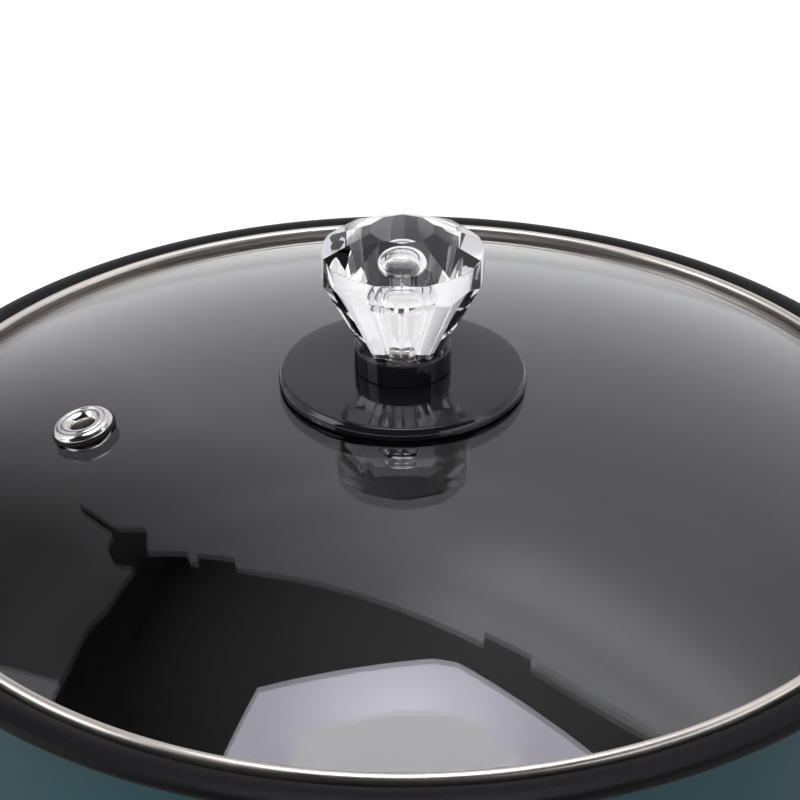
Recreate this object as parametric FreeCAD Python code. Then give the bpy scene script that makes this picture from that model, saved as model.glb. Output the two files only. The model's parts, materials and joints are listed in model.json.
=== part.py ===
import FreeCAD, Part
import math
import os

# Electric hot pot with a lift-off glass lid. Millimetres, Z up, feet on Z = 0, pot axis on Z.
# The dial is at the front (-Y), the mains inlet at the back (+Y), the side handles at -X and +X.

Vector = FreeCAD.Vector
ORIGIN = Vector(0, 0, 0)
Z_AXIS = Vector(0, 0, 1)

# ---------------------------------------------------------------- driving dimensions

# fits
bond_gap = 0.05          # glued or pressed faces that are curved
screw_gap = 0.02         # shank in its hole
running_gap = 0.05       # turning spindle in its bush
seat_gap = 0.2           # lid ring above the pot's ledge
stud_gap = 0.2           # stud in a drilled sheet
head_gap = 0.3           # screw head off a curved plate
tip_gap = 0.5            # end of a screw in its blind hole

# pot
pot_mouth_radius = 136.5     # inside of the wall, just under the ledge
pot_draft = 3.7              # how much narrower the wall is where the bottom corner begins
pot_corner_radius = 26.0
pot_wall = 2.5
pot_floor_thickness = 4.0
ledge_width = 5.8            # from the wall to the recess that the lid lies in
ledge_depth = 7.65           # ledge below the top of the rim
ledge_round = 1.0
recess_wall = 2.0
recess_round = 1.5           # outer corner under the ledge
rim_height = 130.85          # top of the rolled rim above the table
rim_width = 8.2              # from the recess to the rim's outer edge
rim_thickness = 3.95         # top to underside
rim_lip_round = 0.8          # inner corner of the rim
rim_lip_drop = 0.35          # that corner's top below the crest
rim_shoulder = 2.1           # where the rim turns down, in from its outer edge
rim_shoulder_drop = 0.6
rim_edge_drop = 2.8          # widest point below the crest
rim_crown = 0.47             # how far the crest and the shoulder bulge
rim_under_round = 1.0
rim_under_crown = 0.3

# teal shell
rim_overhang = 3.1           # rim beyond the top of the shell
shell_draft = 3.8            # how much narrower the wall is where the bottom curve begins
shell_bend_height = 44.0
shell_curve = 40.0           # radius of the bottom curve
shell_sheet = 1.2
shell_foot_height = 16.0
shell_lip_width = 2.6
window_side = 4.0            # shell's window beyond the thermostat, at each side
window_edge = 2.0            # and above and below it
socket_gap = 1.5             # shell's window round the inlet

# base
base_underside = 7.0
base_floor = 2.5
base_room = 11.7             # base floor to heat shield
base_wall = 2.2
base_upstand = 3.5
base_upstand_gap = 1.0       # upstand inside the shell's foot
base_corner = 2.5
base_flare = 3.2             # how much wider the base is at its top
vent_slots = 16
vent_slot_width = 3.2
vent_slot_inner = 30.0
vent_slot_outer = 58.0
foot_radius = 10.0
foot_inset = 22.1            # centre of a foot in from the edge of the base
foot_edge = 2.0              # rounding of the foot's tread
foot_taper = 0.8
foot_stem = 3.4
foot_barb = 1.0              # barb beyond the stem
foot_barb_band = 0.6
foot_barb_length = 2.8
foot_tip = 2.2               # tip of the barb
foot_count = 4

# lid
glass_dome = 375.0           # radius of the glass's outer surface
glass_thickness = 4.0
glass_edge_gap = 0.4         # glass edge inside the ring's wall
glass_edge_drop = 2.34       # upper edge of the glass below the centre of the bead
glass_centre_hole = 5.0
ring_clearance = 0.7         # ring inside the pot's recess
ring_bead = 1.6              # radius of the half-round bead
ring_bead_drop = 0.25        # centre of the bead below the top of the pot's rim
ring_sheet = 0.6
ring_lip = 3.6               # how far the lower lip reaches under the glass
ring_foot = 1.0              # how far the ring's lower edge is tucked in

# steam vent
vent_circle = 85.25
vent_azimuth = 188.05
vent_hole = 4.8
vent_throat = 3.1
vent_barrel = 4.4
vent_flange = 8.2
vent_flange_height = 2.9
vent_flange_foot = 0.5       # tuck under the flange's edge
vent_edge = 1.1              # height of the flange's rolled edge
vent_edge_round = 0.35
vent_slope = 2.0             # width of the flange's outer slope
vent_slope_drop = 0.1
vent_step = 0.15             # fine step between the slope and the inner roll
vent_mouth = 1.0             # inner roll, from its crest to the throat
vent_mouth_drop = 0.35
vent_throat_drop = 1.9       # where the throat begins
vent_crown = 0.36            # how far the two rolls bulge
vent_gasket_thickness = 0.6
vent_gasket_radius = 8.6
vent_collar = 6.6            # rolled end under the glass
vent_roll = 0.6              # radius of that roll
vent_under_gap = 0.35

# knob
disc_radius = 33.2
disc_edge = 3.05
disc_dome_rise = 0.95
disc_dome_sag = 0.28         # how far the face bulges between its seat and its edge
disc_round = 2.0
disc_hem = 0.3               # chamfer at the disc's lower edge
disc_stand = 0.3             # disc's lower edge above the glass
disc_recess = 0.6            # recess in the disc's underside for its gasket
disc_recess_side = 0.3       # recess beyond the gasket
disc_gasket_radius = 29.0
collar_radius = 12.9
collar_height = 6.6
collar_round = 0.5
collar_chamfer = 0.3
collar_seat = 0.4            # flat on the disc beyond the collar
crystal_seat_depth = 1.5
crystal_seat_radius = 10.05
gem_radius = 21.45           # girdle corners
gem_sides = 20
gem_turn = -91.5             # azimuth of one main corner of the girdle
gem_height = 35.1            # foot to table
gem_foot_radius = 9.1        # corner radius of the ten-sided foot
gem_girdle_low = 23.6        # highest point of the girdle's lower edge above the foot
gem_girdle_top = 28.9        # lowest point of the girdle's upper edge above the foot
crown_slope = 25.0
bore_radius = 5.75
bore_depth = 24.3            # to the top of its round end
insert_height = 5.0
insert_chamfer = 0.6
thread_radius = 2.5
knob_hole_gap = 0.15         # knob screw in the disc and the collar
washer_hole_gap = 0.2
gasket_hole_gap = 0.3
screw_reach = 4.5            # how far the knob screw stands into the crystal
knob_screw_head = 4.7
knob_screw_head_height = 3.0
knob_screw_slot = 1.0
knob_screw_slot_depth = 1.2
under_gasket_radius = 11.0
under_gasket_thickness = 1.0
knob_washer_radius = 9.5
knob_washer_thickness = 1.2
knob_washer_round = 0.5

# heater and what hangs under the pot
plate_radius = 85.0
plate_thickness = 8.0
plate_chamfer = 1.0
tube_radius = 3.3
tube_circle = 62.0
tube_gap = 22.0              # half of the open angle of the C
tube_bend = 9.0
tube_drop = 5.0              # straight end below the bend
groove_gap = 0.1
terminal_neck = 1.2
terminal_neck_length = 1.5
tab_width = 6.3
tab_thickness = 0.8
tab_room = 2.4               # end of a tab above the base floor
stud_radius = 3.0
stud_recess = 0.6            # end of a stud above the base's underside
stud_circle = 76.0
stud_angles = (30.0, 150.0, 270.0)
spacer_radius = 5.0
spacer_height = 8.0
shield_radius = 98.0
shield_sheet = 0.8
shield_rim = 4.0
shield_flare = 2.0
shield_window_gap = 8.0      # window round the heater's terminals
boss_height = 4.5
boss_radius = 10.0
nut_pocket = 7.0
nut_width = 10.0             # across flats
nut_thickness = 4.5

# side handles
finger_gap = 24.7            # web to bar
handle_round = 62.0          # radius of the outer bow
handle_bar = 15.0
handle_root = 6.0            # web against the shell
handle_height = 19.0
handle_drop = 14.9           # top of the handle below the rim's underside
handle_edge = 5.5
handle_gap_edge = 4.5
handle_corner = 6.0
handle_screw_angle = 19.5
handle_plate = 1.5
handle_plate_angle = 24.0
handle_plate_height = 14.0
handle_screw_depth = 12.0

# front and rear pods
front_pod_depth = 12.2       # outer face beyond the shell
front_pod_half_width = 46.0
front_pod_half_height = 27.0
rear_pod_depth = 20.2
rear_pod_half_width = 36.0
rear_pod_half_height = 20.0
dial_height = 48.0
inlet_height = 42.0
pod_wall = 2.5
pod_edge = 3.0
pod_boss = 4.0
pod_screw_angle = 58.0
pod_screw_grip = 1.0         # end of a screw short of the pod's face
boss_merge = 1.0             # how far a screw boss runs into the pod's wall

# dial and thermostat
dial_radius = 20.5
dial_thickness = 11.4
dial_gap = 0.6
dial_dish = 0.8
dial_land = 2.6              # rim round the dished face
dial_shoulder = 1.8
dial_shoulder_drop = 1.2
dial_draft = 0.6
dial_crown = 0.3
dial_grooves = 24
dial_groove_radius = 1.3
dial_groove_stand = 0.5      # centre of a groove beyond the dial
dial_groove_start = 1.5
pointer_width = 3.0
pointer_depth = 2.0
pointer_start = 1.0
pointer_end = 5.0            # end of the pointer in from the dial's edge
pointer_round = 0.6
dial_recess_gap = 1.0        # recess round and above the bush nut
bezel_inner = 21.5
bezel_outer = 25.0
bezel_thickness = 1.5
bezel_round = 0.8
bezel_chamfer = 0.5
spindle_radius = 3.0
spindle_flat = 2.25          # flat of the D, from the axis
spindle_chamfer = 0.5
spindle_in_dial = 7.5
spindle_tip = 0.3
spindle_depth = 6.3          # how far the spindle goes into the thermostat
bush_radius = 5.0
bush_stand = 0.6             # end of the bush beyond its nut
bush_nut_width = 14.0
bush_nut_thickness = 2.4
thermostat_width = 30.0
thermostat_height = 28.0
thermostat_depth = 14.0
thermostat_round = 3.0
blade_x = 8.0
blade_y = 6.0
blade_length = 4.0
lens_radius = 3.5
lens_stem = 2.7
lens_edge = 0.3
lens_height = 1.8
lens_tail = 1.5
lens_x = 35.0
lamp_gap = 0.2
lamp_radius = 2.5
lamp_round = 1.2
lamp_length = 10.0

# sensing
bulb_radius = 3.0
bulb_round = 1.2
bulb_length = 46.0
bulb_y = -38.0
bulb_clip_length = 10.0
bulb_clip_wing = 9.0
capillary_radius = 0.9
capillary_bend = 5.0
capillary_lead = 24.0        # straight run beyond the bulb
capillary_clear = 4.0        # off the heat shield's edge
capillary_rise = 12.0        # upright run, in from the end of the nipple
nipple_radius = 2.0
nipple_length = 3.0
nipple_drop = 8.0            # below the dial's axis
fuse_radius = 2.2
fuse_length = 12.0
fuse_lead = 8.0
fuse_lead_radius = 0.5
fuse_y = 30.0
fuse_clip_length = 6.0
fuse_clip_wing = 7.5
clip_sheet = 0.6
earth_x = -32.0
earth_y = 30.0
earth_length = 8.0
earth_nut_width = 7.0
earth_nut_thickness = 3.2
earth_nut_gap = 1.4          # nut below the heater plate
earth_thread = 0.05          # thread cut into the stud by the nut

# mains inlet
inlet_flange_half_width = 25.0
inlet_flange_half_height = 11.5
inlet_flange_thickness = 2.5
inlet_flange_round = 1.0
inlet_width = 28.0
inlet_body_height = 20.0
inlet_well_width = 24.4
inlet_well_height = 16.4
inlet_well_depth = 18.5
inlet_back = 3.5
inlet_chamfer = 4.0
pin_width = 2.0
pin_height = 4.0
pin_spacing = 7.0
pin_offset = 2.0
pin_tail = 5.0
pin_length = 14.0
pin_chamfer = 0.5
inlet_screw_x = 20.0
inlet_screw_tip = 3.0        # screw beyond the pod's wall

# terminal block
block_length = 30.0
block_width = 14.0
block_room = 1.2             # under the heat shield
block_round = 1.2
block_ways = 3
block_wire_level = 4.0
block_wire_hole = 1.8
block_screw_well = 1.6

# fasteners
small_screw = 2.0            # M4 shank radius
small_head = 3.8
small_head_height = 2.3
tiny_screw = 1.5             # M3 shank radius
tiny_head = 2.8
tiny_head_height = 1.8
screw_point = 0.2            # share of the shank's radius that the point loses
head_band = 0.6              # share of a head's height that is straight

# ---------------------------------------------------------------- derived radii and heights

pot_wall_foot_radius = pot_mouth_radius - pot_draft
recess_radius = pot_mouth_radius + ledge_width
rim_radius = recess_radius + rim_width
rim_underside = rim_height - rim_thickness
ledge_height = rim_height - ledge_depth

shell_top_radius = rim_radius - rim_overhang
shell_bend_radius = shell_top_radius - shell_draft
shell_taper = math.atan2(shell_draft, rim_underside - shell_bend_height)
shell_curve_centre = shell_bend_radius - shell_curve * math.cos(shell_taper)
shell_curve_height = shell_bend_height + shell_curve * math.sin(shell_taper)

base_floor_top = base_underside + base_floor
boss_top = base_floor_top + boss_height
shield_top = base_floor_top + base_room + shield_sheet
plate_underside = shield_top + spacer_height
pot_underside = plate_underside + plate_thickness
pot_floor_height = pot_underside + pot_floor_thickness
tube_height = plate_underside + tube_radius + groove_gap

ring_outer_radius = recess_radius - ring_clearance
ring_bottom = ledge_height + seat_gap
ring_bead_height = rim_height - ring_bead_drop
glass_edge_radius = ring_outer_radius - ring_sheet - glass_edge_gap
glass_inner_dome = glass_dome - glass_thickness
glass_edge_height = ring_bead_height - glass_edge_drop
glass_centre = glass_edge_height - math.sqrt(glass_dome ** 2 - glass_edge_radius ** 2)


def shell_radius(height):
    """Outer radius of the teal shell: a slightly tapered wall above its bottom curve."""
    if height < shell_bend_height:
        return shell_curve_centre + math.sqrt(shell_curve ** 2 - (shell_curve_height - height) ** 2)
    return shell_bend_radius + (height - shell_bend_height) * math.tan(shell_taper)


def glass_top(radius):
    """Height of the glass's outer surface at a distance from the axis."""
    return glass_centre + math.sqrt(glass_dome ** 2 - radius ** 2)


def glass_underside(radius):
    """Height of the glass's inner surface at a distance from the axis."""
    return glass_centre + math.sqrt(glass_inner_dome ** 2 - radius ** 2)


disc_foot = glass_top(disc_radius) + disc_stand
disc_shoulder = disc_foot + disc_edge
collar_foot = disc_shoulder + disc_dome_rise
collar_top = collar_foot + collar_height
gem_foot = collar_top - crystal_seat_depth

handle_top = rim_underside - handle_drop
handle_middle = handle_top - handle_height / 2
handle_web = shell_radius(handle_middle) + handle_root
handle_reach = handle_web + finger_gap + handle_bar

front_panel = shell_radius(dial_height) + front_pod_depth    # outer face of the front pod
dial_foot = front_panel + dial_gap
dial_face = dial_foot + dial_thickness
bush_end = front_panel + bush_nut_thickness + bush_stand
dial_recess_top = dial_foot + bush_nut_thickness + dial_recess_gap
rear_panel = shell_radius(inlet_height) + rear_pod_depth     # outer face of the rear pod
inlet_face = rear_panel + inlet_flange_thickness


# ---------------------------------------------------------------- drawing helpers

class Profile:
    """A closed outline in the XZ half plane, drawn edge by edge and then spun about the Z axis."""

    def __init__(self, radius, height):
        self.first = Vector(radius, 0, height)
        self.last = self.first
        self.edges = []

    def line(self, radius, height):
        end = Vector(radius, 0, height)
        self.edges.append(Part.LineSegment(self.last, end).toShape())
        self.last = end
        return self

    def arc(self, via, to):
        end = Vector(to[0], 0, to[1])
        self.edges.append(Part.Arc(self.last, Vector(via[0], 0, via[1]), end).toShape())
        self.last = end
        return self

    def quarter(self, centre, to):
        """The short arc about a centre."""
        radius = math.hypot(to[0] - centre[0], to[1] - centre[1])
        along = (self.last.x + to[0]) / 2 - centre[0]
        up = (self.last.z + to[1]) / 2 - centre[1]
        grow = radius / math.hypot(along, up)
        return self.arc((centre[0] + along * grow, centre[1] + up * grow), to)

    def bulge(self, to, sag):
        """A flat arc whose middle stands sag to the left of its chord."""
        along = to[0] - self.last.x
        up = to[1] - self.last.z
        chord = math.hypot(along, up)
        via_radius = (self.last.x + to[0]) / 2 - up / chord * sag
        via_height = (self.last.z + to[1]) / 2 + along / chord * sag
        return self.arc((via_radius, via_height), to)

    def dome(self, radius, height):
        """An arc about a centre on the Z axis, so that the spun face is part of a sphere."""
        start = self.last
        centre = (start.x ** 2 - radius ** 2 + start.z ** 2 - height ** 2) / (2 * (start.z - height))
        sphere = math.hypot(start.x, start.z - centre)
        side = math.copysign(1.0, (start.z + height) / 2 - centre)
        middle = (math.asin(start.x / sphere) + math.asin(radius / sphere)) / 2
        via = (sphere * math.sin(middle), centre + side * sphere * math.cos(middle))
        return self.arc(via, (radius, height))

    def spin(self, angle=360.0):
        if not self.last.isEqual(self.first, 1e-7):
            self.line(self.first.x, self.first.z)
        return Part.Face(Part.Wire(self.edges)).revolve(ORIGIN, Z_AXIS, angle)


def cylinder(radius, low, high, x=0.0, y=0.0):
    return Part.makeCylinder(radius, high - low, Vector(x, y, low))


def ring(outer, inner, low, high, x=0.0, y=0.0):
    return cylinder(outer, low, high, x, y).cut(cylinder(inner, low, high, x, y))


def block(width, depth, low, high, x=0.0, y=0.0):
    """A box centred on x, y."""
    return Part.makeBox(width, depth, high - low, Vector(x - width / 2, y - depth / 2, low))


def turned(shape, angle):
    """A copy turned about the pot's axis."""
    copy = shape.copy()
    copy.rotate(ORIGIN, Z_AXIS, angle)
    return copy


def aimed(shape, point, direction):
    """A copy whose own Z axis points along direction, with its origin at point."""
    copy = shape.copy()
    copy.Placement = FreeCAD.Placement(point, FreeCAD.Rotation(Z_AXIS, direction))
    return copy


def at_front(shape, height):
    """Puts a shape drawn face on (X right, Y up, Z out of the face) on the front of the pot."""
    copy = shape.copy()
    copy.rotate(ORIGIN, Vector(1, 0, 0), 90)
    copy.translate(Vector(0, 0, height))
    return copy


def at_back(shape, height):
    return turned(at_front(shape, height), 180)


def group(solids):
    return Part.makeCompound(solids)


def prism(corners, radius, turn, low, high):
    """An upright prism with a regular outline whose first corner is at azimuth turn."""
    points = []
    for index in range(corners):
        angle = math.radians(turn + index * 360.0 / corners)
        points.append(Vector(radius * math.cos(angle), radius * math.sin(angle), low))
    points.append(points[0])
    return Part.Face(Part.makePolygon(points)).extrude(Vector(0, 0, high - low))


def hex_nut(width, low, high, hole, x=0.0, y=0.0):
    nut = prism(6, width / math.sqrt(3), 0.0, low, high)
    nut = nut.cut(cylinder(hole, low, high))
    nut.translate(Vector(x, y, 0))
    return nut


def pan_screw(shank, length, head, head_height):
    """A screw along +Z, with its domed head below Z = 0."""
    point = shank * screw_point
    outline = Profile(0, length)
    outline.line(shank - point, length)
    outline.line(shank, length - 2 * point)
    outline.line(shank, 0)
    outline.line(head, 0)
    outline.line(head, -head_band * head_height)
    outline.dome(0, -head_height)
    return outline.spin()


def stadium(half_width, half_height, low, high):
    """A solid with a round-ended outline in XY, from low to high in Z."""
    straight = half_width - half_height
    right_top = Vector(straight, half_height, low)
    right_end = Vector(half_width, 0, low)
    right_low = Vector(straight, -half_height, low)
    left_low = Vector(-straight, -half_height, low)
    left_end = Vector(-half_width, 0, low)
    left_top = Vector(-straight, half_height, low)
    edges = [
        Part.Arc(right_top, right_end, right_low).toShape(),
        Part.LineSegment(right_low, left_low).toShape(),
        Part.Arc(left_low, left_end, left_top).toShape(),
        Part.LineSegment(left_top, right_top).toShape(),
    ]
    return Part.Face(Part.Wire(edges)).extrude(Vector(0, 0, high - low))


def edges_at_height(shape, height):
    """The edges that lie wholly in one horizontal plane."""
    found = []
    for edge in shape.Edges:
        box = edge.BoundBox
        if abs(box.ZMin - height) < 1e-6 and abs(box.ZMax - height) < 1e-6:
            found.append(edge)
    return found


def upright_edges(shape):
    found = []
    for edge in shape.Edges:
        box = edge.BoundBox
        if box.XLength < 1e-6 and box.YLength < 1e-6:
            found.append(edge)
    return found


def tube_along(points, bend, radius):
    """A round rod along straight runs joined by tangent arcs."""
    edges = []
    here = points[0]
    for index in range(1, len(points) - 1):
        corner = points[index]
        back = (points[index - 1] - corner).normalize()
        ahead = (points[index + 1] - corner).normalize()
        half_angle = back.getAngle(ahead) / 2
        leg = bend / math.tan(half_angle)
        enter = corner + back * leg
        leave = corner + ahead * leg
        bisector = (back + ahead).normalize()
        middle = corner + bisector * (bend / math.sin(half_angle) - bend)
        edges.append(Part.LineSegment(here, enter).toShape())
        edges.append(Part.Arc(enter, middle, leave).toShape())
        here = leave
    edges.append(Part.LineSegment(here, points[-1]).toShape())
    circle = Part.Wire(Part.makeCircle(radius, points[0], points[1] - points[0]))
    return Part.Wire(edges).makePipeShell([circle], True, False)


# ---------------------------------------------------------------- body envelope

def shell_outline(offset):
    """Radius, height points of the shell's outside, moved inward by offset."""
    curve = shell_curve - offset
    low_angle = -math.asin((shell_curve_height - shell_foot_height) / curve)
    points = []
    for angle in (-shell_taper, (low_angle - shell_taper) / 2, low_angle):
        radius = shell_curve_centre + curve * math.cos(angle)
        points.append((radius, shell_curve_height + curve * math.sin(angle)))
    top = (shell_top_radius - offset / math.cos(shell_taper), rim_underside)
    return top, points


def body_envelope(offset=0.0):
    """Everything inside the shell's outer surface, as one plain solid."""
    top, (bend, middle, foot) = shell_outline(offset)
    outline = Profile(0, shell_foot_height)
    outline.line(*foot).arc(middle, bend).line(*top).line(0, rim_underside)
    return outline.spin()


envelope = body_envelope()
shell_foot_radius = shell_outline(0.0)[1][2][0]
shell_foot_inner = shell_outline(shell_sheet)[1][2][0]
base_foot_radius = shell_foot_radius - base_flare
foot_circle = base_foot_radius - foot_inset


# ---------------------------------------------------------------- pot and shell

def inner_pot():
    """Non-stick pot: round-cornered bowl, a ledge for the lid and a broad rolled rim."""
    corner_centre = (pot_wall_foot_radius - pot_corner_radius, pot_floor_height + pot_corner_radius)
    corner_top = pot_floor_height + pot_corner_radius
    top = rim_height
    outline = Profile(0, pot_floor_height)
    outline.line(corner_centre[0], pot_floor_height)
    outline.quarter(corner_centre, (pot_wall_foot_radius, corner_top))
    outline.line(pot_mouth_radius, ledge_height - ledge_round)
    outline.quarter((pot_mouth_radius + ledge_round, ledge_height - ledge_round),
                    (pot_mouth_radius + ledge_round, ledge_height))
    outline.line(recess_radius, ledge_height)
    lip_top = top - rim_lip_drop
    lip_centre = (recess_radius + rim_lip_round, lip_top - rim_lip_round)
    outline.line(recess_radius, lip_centre[1])
    outline.quarter(lip_centre, (lip_centre[0], lip_top))
    outline.bulge((rim_radius - rim_shoulder, top - rim_shoulder_drop), rim_crown)
    outline.bulge((rim_radius, top - rim_edge_drop), rim_crown)
    outline.bulge((rim_radius - rim_under_round, rim_underside), rim_under_crown)
    outer_recess = recess_radius + recess_wall
    step = ledge_height - pot_wall
    outline.line(outer_recess, rim_underside)
    outline.line(outer_recess, step + recess_round)
    outline.quarter((outer_recess - recess_round, step + recess_round), (outer_recess - recess_round, step))
    outline.line(pot_mouth_radius + pot_wall, step)
    outer_corner = pot_corner_radius + pot_wall
    outer_foot = pot_wall_foot_radius + pot_wall
    outline.line(outer_foot, pot_underside + outer_corner)
    outline.quarter((outer_foot - outer_corner, pot_underside + outer_corner),
                    (outer_foot - outer_corner, pot_underside))
    outline.line(0, pot_underside)
    return outline.spin()


def pod_screw_points():
    """Screw places in the round ends of the front pod, seen face on."""
    from_end = front_pod_half_height - pod_wall - pod_boss + boss_merge
    x = front_pod_half_width - front_pod_half_height + from_end * math.cos(math.radians(pod_screw_angle))
    y = from_end * math.sin(math.radians(pod_screw_angle))
    return [(side * x, level * y) for side in (-1, 1) for level in (-1, 1)]


def handle_screw_directions():
    found = []
    for side in (0.0, 180.0):
        for lean in (-handle_screw_angle, handle_screw_angle):
            angle = math.radians(side + lean)
            found.append(Vector(math.cos(angle), math.sin(angle), 0))
    return found


def rear_screw_points():
    offset = rear_pod_half_width - pod_wall - pod_boss + boss_merge
    return [(-offset, 0.0), (offset, 0.0)]


def outer_shell():
    """Painted sheet shell with its top lip turned in, and the openings for pods and screws."""
    top, (bend, middle, foot) = shell_outline(0.0)
    inner_top, (inner_bend, inner_middle, inner_foot) = shell_outline(shell_sheet)
    outline = Profile(*top)
    outline.line(*bend).arc(middle, foot).line(*inner_foot).arc(inner_middle, inner_bend)
    outline.line(inner_top[0], rim_underside - shell_sheet)
    outline.line(top[0] - shell_lip_width, rim_underside - shell_sheet)
    outline.line(top[0] - shell_lip_width, rim_underside)
    shell = outline.spin()
    window_width = thermostat_width + 2 * window_side
    window = block(window_width, thermostat_height + 2 * window_edge, 0, shell_top_radius)
    shell = shell.cut(at_front(window, dial_height))
    socket = block(inlet_width + 2 * socket_gap, inlet_body_height + 2 * socket_gap, 0, shell_top_radius)
    shell = shell.cut(at_back(socket, inlet_height))
    hole = small_screw + screw_gap
    for x, y in pod_screw_points():
        shell = shell.cut(at_front(cylinder(hole, 0, shell_top_radius, x, y), dial_height))
    for x, y in rear_screw_points():
        shell = shell.cut(at_back(cylinder(hole, 0, shell_top_radius, x, y), inlet_height))
    drill = cylinder(hole, 0, rim_radius)
    for direction in handle_screw_directions():
        shell = shell.cut(aimed(drill, Vector(0, 0, handle_middle), direction))
    return shell


# ---------------------------------------------------------------- side handles

def side_handle():
    """A bow-shaped moulded handle with a lens-shaped finger gap, drawn at +X."""
    low = handle_top - handle_height
    centre = handle_reach - handle_round
    gap_round = handle_round - handle_bar
    bow = cylinder(handle_round, low, handle_top, centre)
    bow = bow.makeFillet(handle_edge, edges_at_height(bow, low) + edges_at_height(bow, handle_top))
    gap = cylinder(gap_round, low, handle_top, centre).cut(cylinder(handle_web, low, handle_top))
    corner = min(handle_corner, finger_gap / 4)
    gap = gap.makeFillet(corner, upright_edges(gap)[:2])
    bow = bow.cut(gap)
    rims = []
    for edge in edges_at_height(bow, low) + edges_at_height(bow, handle_top):
        middle = edge.valueAt((edge.FirstParameter + edge.LastParameter) / 2)
        if math.hypot(middle.x - centre, middle.y) < gap_round + 1e-3 and middle.x > handle_web / 2:
            rims.append(edge)
    bow = bow.makeFillet(handle_gap_edge, rims)
    bow = bow.cut(body_envelope(-bond_gap))
    pilot = cylinder(small_screw + screw_gap, 0, shell_radius(handle_middle) + handle_screw_depth + tip_gap)
    for direction in handle_screw_directions()[:2]:
        bow = bow.cut(aimed(pilot, Vector(0, 0, handle_middle), direction))
    return bow


def handle_plates():
    """Curved steel plates that the handle screws pull against, inside the shell."""
    low = handle_middle - handle_plate_height / 2
    high = handle_middle + handle_plate_height / 2
    outer_low = shell_radius(low) - shell_sheet - 2 * bond_gap
    outer_high = shell_radius(high) - shell_sheet - 2 * bond_gap
    outline = Profile(outer_low, low)
    outline.line(outer_high, high)
    outline.line(outer_high - handle_plate, high)
    outline.line(outer_low - handle_plate, low)
    strip = outline.spin(2 * handle_plate_angle)
    strip = turned(strip, -handle_plate_angle)
    for direction in handle_screw_directions()[:2]:
        drill = cylinder(small_screw + screw_gap, 0, shell_top_radius)
        strip = strip.cut(aimed(drill, Vector(0, 0, handle_middle), direction))
    return group([strip, turned(strip, 180)])


def handle_screws():
    head_face = shell_radius(handle_middle) - shell_sheet - handle_plate - head_gap
    length = shell_radius(handle_middle) + handle_screw_depth - head_face
    screw = pan_screw(small_screw, length, small_head, small_head_height)
    solids = []
    for direction in handle_screw_directions():
        point = direction * head_face + Vector(0, 0, handle_middle)
        solids.append(aimed(screw, point, direction))
    return group(solids)


# ---------------------------------------------------------------- base

def base_cover():
    """Moulded black bottom: dished tray, locating upstand, vent slots and nut pockets."""
    top = shell_foot_height
    rim = shell_foot_radius
    upstand = shell_foot_inner - base_upstand_gap
    foot = base_foot_radius
    outline = Profile(0, base_underside)
    outline.line(foot - base_corner, base_underside)
    outline.quarter((foot - base_corner, base_underside + base_corner), (foot, base_underside + base_corner))
    outline.line(rim, top)
    outline.line(upstand, top)
    outline.line(upstand, top + base_upstand)
    outline.line(upstand - base_wall, top + base_upstand)
    outline.line(upstand - base_wall, top)
    outline.line(foot - base_corner, base_floor_top)
    outline.line(0, base_floor_top)
    cover = outline.spin()
    for angle in stud_angles:
        boss = turned(cylinder(boss_radius, base_floor_top, boss_top, stud_circle), angle)
        cover = cover.fuse(boss)
    for angle in stud_angles:
        pocket = cylinder(nut_pocket, base_underside, boss_top - base_floor, stud_circle)
        pocket = pocket.fuse(cylinder(stud_radius + stud_gap, base_underside, boss_top, stud_circle))
        cover = cover.cut(turned(pocket, angle))
    for index in range(foot_count):
        angle = (index + 0.5) * 360.0 / foot_count
        hole = cylinder(foot_stem + bond_gap, base_underside, base_floor_top, foot_circle)
        cover = cover.cut(turned(hole, angle))
    length = vent_slot_outer - vent_slot_inner
    slot = stadium(length / 2, vent_slot_width / 2, base_underside, base_floor_top)
    slot.translate(Vector((vent_slot_inner + vent_slot_outer) / 2, 0, 0))
    slots = [turned(slot, index * 360.0 / vent_slots) for index in range(vent_slots)]
    return cover.cut(group(slots)).removeSplitter()


def rubber_feet():
    barb = base_floor_top + bond_gap
    outline = Profile(0, 0)
    outline.line(foot_radius - foot_edge, 0)
    outline.quarter((foot_radius - foot_edge, foot_edge), (foot_radius, foot_edge))
    outline.line(foot_radius - foot_taper, base_underside)
    outline.line(foot_stem, base_underside)
    outline.line(foot_stem, barb)
    outline.line(foot_stem + foot_barb, barb)
    outline.line(foot_stem + foot_barb, barb + foot_barb_band)
    outline.line(foot_tip, barb + foot_barb_length)
    outline.line(0, barb + foot_barb_length)
    foot = outline.spin()
    foot.translate(Vector(foot_circle, 0, 0))
    return group([turned(foot, (index + 0.5) * 360.0 / foot_count) for index in range(foot_count)])


def around_studs(shape):
    """One copy of a shape, drawn on the stud circle at +X, for each stud."""
    return group([turned(shape, angle) for angle in stud_angles])


def pot_studs():
    return around_studs(cylinder(stud_radius, base_underside + stud_recess, plate_underside, stud_circle))


def shield_spacers():
    hole = stud_radius + bond_gap
    return around_studs(ring(spacer_radius, hole, shield_top, plate_underside, stud_circle))


def base_spacers():
    hole = stud_radius + bond_gap
    return around_studs(ring(spacer_radius, hole, boss_top, shield_top - shield_sheet, stud_circle))


def base_nuts():
    top = boss_top - base_floor
    return around_studs(hex_nut(nut_width, top - nut_thickness, top, stud_radius + bond_gap, stud_circle))


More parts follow.
